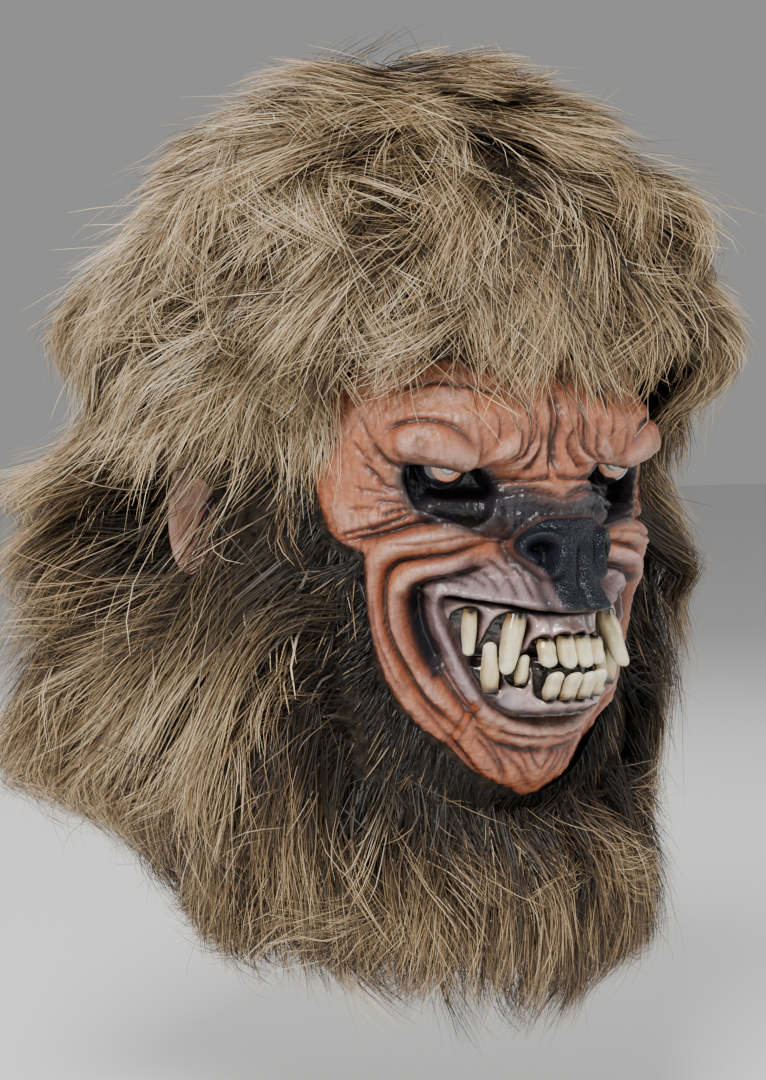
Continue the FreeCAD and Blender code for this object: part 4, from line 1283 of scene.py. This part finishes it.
# Locks that stand out: angle, height, lie, length, height in the coat at the root and at the tip,
# spread and shade.
LOCKS = [
    (-46, 356, 96, 62, 0.7, 1.22, 13, 0.62), (-30, 352, -88, 66, 0.7, 1.25, 13, 0.66),
    (8, 356, 100, 60, 0.7, 1.22, 13, 0.60), (-90, 350, 92, 60, 0.7, 1.15, 13, 0.62),
    (40, 350, -96, 58, 0.7, 1.2, 13, 0.60), (-98, 196, -62, 96, 0.3, 1.20, 12, 0.66),
    (-104, 186, -70, 92, 0.4, 1.25, 10, 0.70), (-92, 178, -48, 110, 0.4, 1.10, 11, 0.74),
    (-108, 168, -58, 88, 0.4, 1.15, 12, 0.60), (-96, 150, -40, 120, 0.4, 1.12, 12, 0.70),
    (-100, 128, -38, 118, 0.5, 1.15, 12, 0.66), (-78, 140, -44, 120, 0.5, 1.02, 11, 0.72),
    (-66, 150, -40, 118, 0.5, 0.98, 10, 0.78), (-60, 128, -34, 110, 0.5, 0.95, 10, 0.74),
    (-110, 100, -34, 92, 0.5, 1.18, 12, 0.60), (-90, 96, -28, 100, 0.5, 1.05, 12, 0.62),
    (-72, 88, -20, 104, 0.5, 1.0, 12, 0.58), (-54, 70, -12, 96, 0.5, 1.0, 12, 0.54),
    (-30, 34, -6, 78, 0.5, 1.05, 12, 0.50), (-14, 34, 4, 82, 0.5, 1.08, 12, 0.48),
    (2, 34, 2, 80, 0.5, 1.1, 12, 0.46), (16, 36, 8, 78, 0.5, 1.05, 12, 0.44),
    (36, 50, 14, 84, 0.5, 1.0, 12, 0.42), (56, 228, 58, 88, 0.5, 1.18, 11, 0.62),
    (62, 210, 52, 84, 0.5, 1.15, 11, 0.60), (58, 178, 56, 88, 0.5, 1.28, 10, 0.54),
    (62, 160, 50, 76, 0.5, 1.2, 10, 0.50), (50, 262, 44, 84, 0.5, 1.12, 12, 0.62),
    (46, 292, 40, 76, 0.5, 1.15, 12, 0.60), (-128, 352, -10, 62, 0.6, 1.2, 12, 0.60),
    (-118, 344, -6, 60, 0.6, 1.2, 12, 0.62), (30, 362, 30, 58, 0.6, 1.2, 12, 0.64),
    (-108, 300, -14, 84, 0.6, 1.18, 12, 0.68), (-112, 270, -18, 84, 0.6, 1.14, 12, 0.70),
    (-104, 244, -26, 96, 0.6, 1.2, 12, 0.72), (-60, 262, -30, 96, 0.6, 1.05, 12, 0.76),
    (-72, 238, -28, 104, 0.6, 1.05, 12, 0.78), (-52, 250, -22, 84, 0.6, 1.0, 11, 0.76),
    (-70, 357, 66, 76, 0.7, 1.1, 12, 0.66), (-150, 355, -74, 72, 0.7, 1.12, 11, 0.62),
    (110, 352, 58, 70, 0.7, 1.08, 12, 0.60), (20, 352, -62, 78, 0.7, 1.08, 12, 0.64),
    (-20, 345, 58, 80, 0.7, 1.08, 12, 0.68), (-44, 338, -52, 84, 0.7, 1.1, 12, 0.72),
    (-86, 336, 40, 84, 0.7, 1.1, 12, 0.74), (50, 335, -44, 80, 0.7, 1.08, 12, 0.62),
    (-10, 318, -48, 80, 0.7, 1.08, 12, 0.66), (-38, 300, -34, 88, 0.6, 1.05, 12, 0.70),
    (-16, 296, 30, 84, 0.6, 1.08, 12, 0.66), (6, 292, -34, 84, 0.6, 1.08, 12, 0.64),
    (20, 284, 26, 78, 0.6, 1.06, 12, 0.64), (-30, 268, 22, 62, 0.6, 1.05, 12, 0.68),
    (-8, 262, -26, 58, 0.6, 1.06, 12, 0.64),
]
STRANDS_IN_LOCK, COPIES_OF_LOCK = 100, 3
SEAM_DEGREE = 1.6        # millimetres to a degree along the edge of the face
SEAM_HAIRS = 28000


def lock_set(local):
    """Clumps for the listed locks, each in a few copies that lie a little apart."""
    rows = np.array([row for row in LOCKS for _ in range(COPIES_OF_LOCK)], float)
    count = len(rows)
    angle, height, lie, length, start, top, spread, tint = rows.T
    turn = angle + local.normal(0.0, 3.2, count)
    height = height + local.normal(0.0, 6.0, count)
    runs = np.arange(0.0, 600.0, 4.0)
    run = np.empty(count)
    for k in range(count):
        _, outer = fur_place(np.full(len(runs), turn[k]), runs)
        run[k] = np.interp(-height[k], -outer[:, 2], runs)
    return dict(
        turn=turn, run=run, strands=np.full(count, STRANDS_IN_LOCK), size=spread / 9.0,
        length=length * local.uniform(0.8, 1.1, count), lie=lie + local.normal(0.0, 7.0, count),
        curl=local.normal(0.0, 10.0, count), phase=local.uniform(0.0, 6.28, count),
        past=local.normal(4.0, 6.0, count), start=start, top=top - 0.12, flick=np.full(count, 0.12),
        pinch=local.uniform(0.5, 0.9, count), loose=np.full(count, 1.3),
        tint=tint + local.normal(0.0, 0.04, count))


def seam_pile(local, count):
    """Short black pile standing along the edge of the face, with a few pale hairs in it."""
    path = spline(SEAM, 0.4)
    where = local.integers(0, len(path), count)
    side = np.where(local.uniform(0.0, 1.0, count) < 0.5, -1.0, 1.0)
    turn, z = side * np.abs(path[where, 0]), path[where, 1]
    ahead = path[np.minimum(where + 2, len(path) - 1)] - path[np.maximum(where - 2, 0)]
    ahead[:, 0] *= SEAM_DEGREE
    ahead = unit(ahead)
    behind = smooth(84.0, 115.0, z) * (1.0 - smooth(168.0, 186.0, z))
    gap = local.uniform(0.0, 1.0, count) ** 1.2 * (15.0 + 24.0 * behind)
    outward, down = np.abs(ahead[:, 1]), np.abs(ahead[:, 0])
    turn = turn + side * outward * gap / SEAM_DEGREE
    z = z - down * gap
    pale = local.uniform(0.0, 1.0, count) < 0.03
    length = (local.uniform(9.0, 20.0, count) * (1.0 + 0.9 * pale))[:, None]
    t = np.linspace(0.0, 1.0, 4)
    lean = local.normal(0.0, 0.35, count)
    turns = turn[:, None] + side[:, None] * (outward + lean)[:, None] * (length * t) * 0.42
    heights = z[:, None] + (-down - 0.35 + 0.4 * lean)[:, None] * (length * t) * 0.7
    lift = 1.2 + (2.0 + 0.28 * gap[:, None] + length * 0.36) * t ** 0.8
    on_skin = np.maximum(heights, 1.0)
    points = on_head(turns, on_skin, lift)
    points[..., 2] = heights
    out = on_head(turns, on_skin, 1.0) - on_head(turns, on_skin, 0.0)
    tint = np.where(pale, 0.52, 0.03 + 0.05 * local.uniform(0.0, 1.0, count))
    return dict(points=points, out=out, turn=turn, z=np.minimum(z, 230.0), tint=tint)


# Families of hair in their clumps: short dark underhair, the body of the coat, its outer layer and stray
# hairs; their tints run from dark underneath, painted shade deep in the coat, to light outside, painted
# highlight.  Tops are shares of the coat's depth, cross is how unevenly the clumps lie in degrees.
FAMILIES = [
    dict(count=1500, strands=13, length=(30.0, 50.0), top=(0.15, 0.5), start=-0.10, flick=0.04, tint=-0.34,
         cross=6.0),
    dict(count=2300, strands=35, length=(48.0, 96.0), top=(0.35, 0.92), start=0.0, flick=0.15, tint=0.02,
         cross=11.0),
    dict(count=760, strands=34, length=(60.0, 108.0), top=(0.8, 1.02), start=0.25, flick=0.22, tint=0.08,
         cross=24.0),
    dict(count=2400, strands=4, length=(36.0, 86.0), top=(0.7, 1.12), start=0.3, flick=0.2, tint=0.12,
         cross=30.0),
]
# How each family grows, with the locks last: points to a strand, frizz, pinch and spread of a clump.
GROWTH = [(5, 1.6, 0.4, 10.0), (7, 2.4, 0.86, 8.0), (7, 3.0, 0.85, 9.0), (7, 6.0, 0.1, 9.0),
          (7, 2.2, 0.85, 9.0)]
# Width and twist of the ribbons of each, and how far above the fringe's line they end.
RIBBONS = [(1.25, 0.35, 20.0), (0.40, 0.8, 0.0), (0.38, 0.8, 0.0), (0.30, 0.9, 0.0), (0.44, 0.8, 0.0)]
SEAM_RIBBON = (0.62, 0.8)


def plant_fur(finish):
    """All the hair, as ribbon meshes sorted by the panel they grow from."""
    local = np.random.default_rng(21)
    clumps = [clump_set(local, **family) for family in FAMILIES]
    families = [grow(some, local, *growth) for some, growth in zip(clumps, GROWTH)]
    families.append(grow(lock_set(local), local, *GROWTH[-1]))
    groups = {}
    for strands, (width, twist, spare) in zip(families, RIBBONS):
        keep = forehead_clear(strands, local, spare)
        collect(groups, {key: values[keep] for key, values in strands.items()}, width, twist, local)
    collect(groups, seam_pile(local, SEAM_HAIRS), *SEAM_RIBBON, local)
    for (panel, steps), parts in sorted(groups.items()):
        joined = [np.concatenate(values) for values in zip(*parts)]
        most = MOST_TRIANGLES // (2 * (steps - 1))
        for number, start in enumerate(range(0, len(joined[0]), most)):
            chunk = [values[start:start + most] for values in joined]
            finish(ribbons("%s_hair_%d_%d" % (panel, steps, number), *chunk), panel)


def collect(groups, strands, width, twist, local):
    """Sorts strands into the groups of one panel and one number of steps."""
    count = len(strands["tint"])
    widths = width * local.uniform(0.75, 1.3, count)
    rolls = local.normal(0.0, twist, count)
    nodes = fur_node(strands["turn"], strands["z"])
    values = (strands["points"], strands["out"], widths, strands["tint"], rolls)
    for panel in np.unique(nodes):
        group = groups.setdefault((str(panel), strands["points"].shape[1]), [])
        group.append([part[nodes == panel] for part in values])


def undercoat(name, start_at, end, low, high):
    """The dark woolly cloth that the hair of one panel grows from, hemmed to the latex at its foot; its
    darkness is painted shade deep in the pile.
    """
    share = np.linspace(0.0, 1.0, 40)
    heights = np.linspace(low, high, max(int((high - low) / 4.0), 8))
    turns = [start_at(z) + (end - start_at(z)) * share for z in heights]
    hem = on_head(turns[0], np.full(len(share), max(low, 0.0)), 0.6)
    rows = [coats(wrapped(turn), np.full(len(share), z))[0] for turn, z in zip(turns, heights)]
    points = np.array([hem] + rows)
    woolly = fractal(points.reshape(-1, 3), 14.0, 3, 5).reshape(points.shape[:2]) * 1.3
    points = points + unit(points * np.array([1.0, 1.0, 0.0])) * woolly[..., None]
    return mesh_object(name, points.reshape(-1, 3), grid_faces(len(points), len(share)))


def crown_undercoat():
    """The same cloth over the crown, in one piece all round."""
    turns = np.arange(-180.0, 179.0, 4.0)
    heights = np.concatenate([np.linspace(234.0, 350.0, 34), np.linspace(353.0, CROWN_TOP, 16)])
    t, z = [values.ravel() for values in np.meshgrid(turns, heights)]
    inner, _ = coats(t, z)
    woolly = fractal(inner, 14.0, 3, 5) * 1.5
    points = inner + unit(inner - np.array([0.0, 0.0, 210.0])) * woolly[:, None]
    return mesh_object("crown_undercoat", points, grid_faces(len(heights), len(turns), wrap=True))


# ---------------------------------------------------------------- materials
def fill(tree, made, sockets):
    """Sets a node's sockets, by name or number, to plain values or links them to outputs."""
    for key, value in sockets.items():
        if isinstance(value, bpy.types.NodeSocket):
            tree.links.new(value, made.inputs[key])
        else:
            made.inputs[key].default_value = value


def node(tree, kind, sockets, **settings):
    made = tree.nodes.new(kind)
    for key, value in settings.items():
        setattr(made, key, value)
    fill(tree, made, sockets)
    return made


def new_material(name, roughness, specular=0.5):
    """A Principled material with its node tree and its shader."""
    made = bpy.data.materials.new(name)
    made.use_nodes = True
    tree = made.node_tree
    shader = tree.nodes["Principled BSDF"]
    fill(tree, shader, {"Roughness": roughness, "Specular IOR Level": specular})
    return made, tree, shader


def stored(tree, name, output):
    """What paint() stored under a name."""
    return node(tree, "ShaderNodeAttribute", {}, attribute_name=name).outputs[output]


def object_space(tree):
    return node(tree, "ShaderNodeTexCoord", {}).outputs["Object"]


def noise(tree, scale, detail, **settings):
    sockets = {"Vector": object_space(tree), "Scale": scale, "Detail": detail}
    return node(tree, "ShaderNodeTexNoise", sockets, **settings)


def uneven(tree, shader, *layers):
    """Chains bump layers: height output, strength, distance in metres."""
    for height, strength, distance in layers:
        sockets = {"Height": height, "Strength": strength, "Distance": distance}
        made = node(tree, "ShaderNodeBump", sockets)
        if shader.inputs["Normal"].is_linked:
            tree.links.new(shader.inputs["Normal"].links[0].from_socket, made.inputs["Normal"])
        tree.links.new(made.outputs["Normal"], shader.inputs["Normal"])


def speckled(tree, attribute, scale, amount, seed):
    """The stored colour with fine airbrush speckle over it."""
    specks = noise(tree, scale, 6.0, noise_dimensions="4D")
    fill(tree, specks, {"Roughness": 0.65, "W": seed})
    level = node(tree, "ShaderNodeMapRange", {
        "Value": specks.outputs["Fac"], "From Min": 0.3, "From Max": 0.7,
        "To Min": 1.0 - amount, "To Max": 1.0 + amount})
    sockets = {0: stored(tree, attribute, "Color"), "Scale": level.outputs["Result"]}
    return node(tree, "ShaderNodeVectorMath", sockets, operation="SCALE").outputs["Vector"]


def skin_material():
    """Painted latex: pores everywhere, and a duller, pebbled nose pad."""
    made, tree, shader = new_material("painted_latex", 0.42)
    leather = stored(tree, "nose_leather", "Fac")
    dull = node(tree, "ShaderNodeMath", {0: leather, 1: -0.28, 2: 0.5}, operation="MULTIPLY_ADD")
    fill(tree, shader, {
        "Base Color": speckled(tree, "skin_colour", 900.0, 0.22, 1.0),
        "Roughness": stored(tree, "skin_rough", "Fac"), "Specular IOR Level": dull.outputs["Value"],
        "Coat Weight": 0.06, "Coat Roughness": 0.25})
    pores = noise(tree, 420.0, 8.0)
    pebble = node(tree, "ShaderNodeTexVoronoi", {"Vector": object_space(tree), "Scale": 900.0})
    masked = node(tree, "ShaderNodeMath", {0: pebble.outputs["Distance"], 1: leather}, operation="MULTIPLY")
    uneven(tree, shader, (pores.outputs["Fac"], 0.55, 0.0013), (masked.outputs["Value"], 0.55, -0.0009))
    return made


def painted(name, attribute, roughness, scale=500.0, amount=0.12, bump_scale=300.0, strength=0.15,
            depth=0.0005, gloss_coat=0.0):
    """Glossy painted plastic or latex that shows the stored colour."""
    made, tree, shader = new_material(name, roughness)
    colour = speckled(tree, attribute, scale, amount, 2.0)
    fill(tree, shader, {"Base Color": colour, "Coat Weight": gloss_coat, "Coat Roughness": 0.06})
    uneven(tree, shader, (noise(tree, bump_scale, 4.0).outputs["Fac"], strength, depth))
    return made


def ramp(tree, level, *stops):
    """A colour for each level, blended between the stops."""
    made = node(tree, "ShaderNodeValToRGB", {"Fac": level})
    elements = made.color_ramp.elements
    while len(elements) < len(stops):
        elements.new(0.5)
    for element, (where, colour) in zip(elements, stops):
        element.position = where
        element.color = (*colour, 1.0)
    return made.outputs["Color"]


def hair_material(name):
    """Hair colour from the baking layer: tint across; along, root to tip, painted shade darkens the roots
    deep in the coat and a painted highlight lifts the tips.
    """
    made, tree, shader = new_material(name, 0.5, 0.35)
    layer = node(tree, "ShaderNodeUVMap", {}, uv_map="OFBake")
    parts = node(tree, "ShaderNodeSeparateXYZ", {0: layer.outputs["UV"]})
    shade = ramp(tree, parts.outputs["X"], (0.0, (0.008, 0.007, 0.006)), (0.16, (0.030, 0.020, 0.015)),
                 (0.38, (0.155, 0.100, 0.062)), (0.60, (0.47, 0.31, 0.155)), (0.80, (0.80, 0.59, 0.33)),
                 (1.0, (0.98, 0.85, 0.60)))
    # root to tip: dark roots as painted shade deep in the pile, tips lifted past their tint as painted
    # highlight
    along = ramp(tree, parts.outputs["Y"], (0.0, (0.03, 0.025, 0.02)), (0.32, (0.11, 0.095, 0.08)),
                 (0.58, (0.38, 0.35, 0.32)), (0.84, (0.95, 0.94, 0.93)), (1.0, (1.10, 1.08, 1.05)))
    mixed = node(tree, "ShaderNodeMix", {0: 1.0, 6: shade, 7: along}, data_type="RGBA", blend_type="MULTIPLY")
    fill(tree, shader, {"Base Color": mixed.outputs[2]})
    return made


def cloth_material():
    # near-black cloth: the fur's backing, and painted shade between the hairs
    made, tree, shader = new_material("undercoat_cloth_and_shade", 0.9, 0.1)
    wool = noise(tree, 260.0, 6.0).outputs["Fac"]
    shade = ramp(tree, wool, (0.35, (0.007, 0.006, 0.005)), (0.7, (0.040, 0.029, 0.021)))
    fill(tree, shader, {"Base Color": shade})
    uneven(tree, shader, (wool, 0.8, 0.003))
    return made


def lining_material():
    """Bare latex inside the shell, mottled where it was poured."""
    made, tree, shader = new_material("bare_latex", 0.55)
    mottle = noise(tree, 45.0, 5.0).outputs["Fac"]
    shade = ramp(tree, mottle, (0.3, (0.42, 0.30, 0.19)), (0.7, (0.55, 0.42, 0.29)))
    fill(tree, shader, {"Base Color": shade})
    return made


def finish_piece(obj, made, name):
    """Gives a piece its material, hides the CAD part that it stands for, and hangs it on the one body."""
    obj.data.materials.append(made)
    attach(obj, "root")
    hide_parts(name)


# ---------------------------------------------------------------- studio
CAMERA_AZIMUTH, CAMERA_ELEVATION, CAMERA_DISTANCE = math.radians(-36.0), math.radians(3.0), 1.5
AIM_HEIGHT, AIM_ASIDE = 0.154, 0.0098        # the camera looks a little to the left of the axis
LIGHTS = (("key", (-1.35, -1.2, 1.55), 78.0, 0.75), ("fill", (1.4, -1.0, 0.7), 12.0, 1.2),
          ("rim", (0.4, 1.5, 1.3), 22.0, 1.0))       # name, place, power, size
LIT_POINT = Vector((0.0, 0.0, 0.17))
FLOOR_DROP, FLOOR_REACH = 0.06, 6.0


def face_along(obj, direction):
    obj.rotation_mode = "QUATERNION"
    obj.rotation_quaternion = direction.to_track_quat("-Z", "Y")


def camera():
    data = bpy.data.cameras.new("camera")
    data.lens = 112.0
    data.sensor_width = 36.0
    level = math.cos(CAMERA_ELEVATION)
    back = Vector((math.sin(CAMERA_AZIMUTH) * level, -math.cos(CAMERA_AZIMUTH) * level,
                   math.sin(CAMERA_ELEVATION)))
    right = Vector((math.cos(CAMERA_AZIMUTH), math.sin(CAMERA_AZIMUTH), 0.0))
    made = add_object("camera", data)
    made.location = Vector((0.0, 0.0, AIM_HEIGHT)) - right * AIM_ASIDE + back * CAMERA_DISTANCE
    face_along(made, -back)
    bpy.context.scene.camera = made


def floor():
    z = CAD_LOW.z - FLOOR_DROP
    corners = [(x * FLOOR_REACH, y * FLOOR_REACH, z) for x, y in ((-1, -1), (1, -1), (1, 1), (-1, 1))]
    made = raw_mesh("floor", np.array(corners, np.float32), np.array([(0, 1, 2, 3)], np.int32))
    pale, tree, shader = new_material("floor_pale", 0.7)
    fill(tree, shader, {"Base Color": (0.78, 0.78, 0.77, 1.0)})
    made.data.materials.append(pale)


def studio():
    """A pale floor, an even grey sky and three soft lights."""
    floor()
    world = bpy.data.worlds.new("studio")
    world.use_nodes = True
    sky = world.node_tree.nodes["Background"]
    fill(world.node_tree, sky, {"Color": (0.84, 0.84, 0.84, 1.0), "Strength": 0.36})
    bpy.context.scene.world = world
    for name, where, power, size in LIGHTS:
        light = bpy.data.lights.new(name, "AREA")
        light.energy = power
        light.size = size
        lamp = add_object(name, light)
        lamp.location = where
        face_along(lamp, LIT_POINT - lamp.location)


# ---------------------------------------------------------------- making
PILE_SLOTS = {"crown_fur": "crown_pile", "nape_fur": "nape_pile", "beard_fur": "beard_pile",
              "left_cheek_fur": "cheek_pile", "right_cheek_fur": "cheek_pile",
              "left_side_fur": "side_pile", "right_side_fur": "side_pile"}


def make_face():
    finish_piece(build_skin(), skin_material(), "latex_head_skin")
    finish_piece(build_lining(), lining_material(), "latex_head_skin")
    eye = painted("eye_gloss", "eye_colour", 0.06, scale=700.0, amount=0.10, strength=0.0, gloss_coat=1.0)
    gum = painted("gum_gloss", "gum_colour", 0.22, scale=420.0, amount=0.25, bump_scale=500.0,
                  strength=0.35, depth=0.0006, gloss_coat=0.6)
    tooth = painted("tooth_enamel", "tooth_colour", 0.20, scale=380.0, amount=0.16, bump_scale=420.0,
                    strength=0.2, depth=0.0004, gloss_coat=0.5)
    ear = painted("ear_latex", "ear_colour", 0.5, bump_scale=350.0, strength=0.3)
    for side, sign in SIDES:
        finish_piece(build_eye(side, sign), eye, side + "_eye")
        finish_piece(build_ear(side, sign), ear, side + "_ear")
        for fang in FANGS:
            finish_piece(build_fang(side, sign, *fang), tooth, "%s_%s" % (fang[0], side))
    for jaw in INCISORS:
        finish_piece(build_gum(jaw), gum, jaw + "_gum")
        finish_piece(build_incisors(jaw), tooth, jaw + "_incisors")


def make_undercoats():
    """The cloth of each panel: its first seam by height, its last seam, its foot and its top."""
    cloth = cloth_material()
    finish_piece(crown_undercoat(), cloth, "crown_fur")
    panels = [("nape", lambda z: FLANK_TURN, 360.0 - FLANK_TURN, 34.0),
              ("beard", lambda z: -CHIN_TURN, CHIN_TURN, 1.0)]
    for side, sign in SIDES:
        panels.append((side + "_cheek", lambda z, sign=sign: sign * edge_turn(z), sign * CHEEK_TURN, 1.0))
        panels.append((side + "_side", lambda z, sign=sign: sign * CHEEK_TURN, sign * FLANK_TURN, 12.0))
    for panel, start_at, end, low in panels:
        high = BEARD_TOP if panel == "beard" else CLOTH_TOP
        cloth_piece = undercoat(panel + "_undercoat", start_at, end, low, high)
        finish_piece(cloth_piece, cloth, panel + "_fur")


def make_fur():
    make_undercoats()
    hair = {slot: hair_material(slot) for slot in sorted(set(PILE_SLOTS.values()))}
    plant_fur(lambda obj, panel: finish_piece(obj, hair[PILE_SLOTS[panel]], panel))


camera()
studio()
make_face()
make_fur()
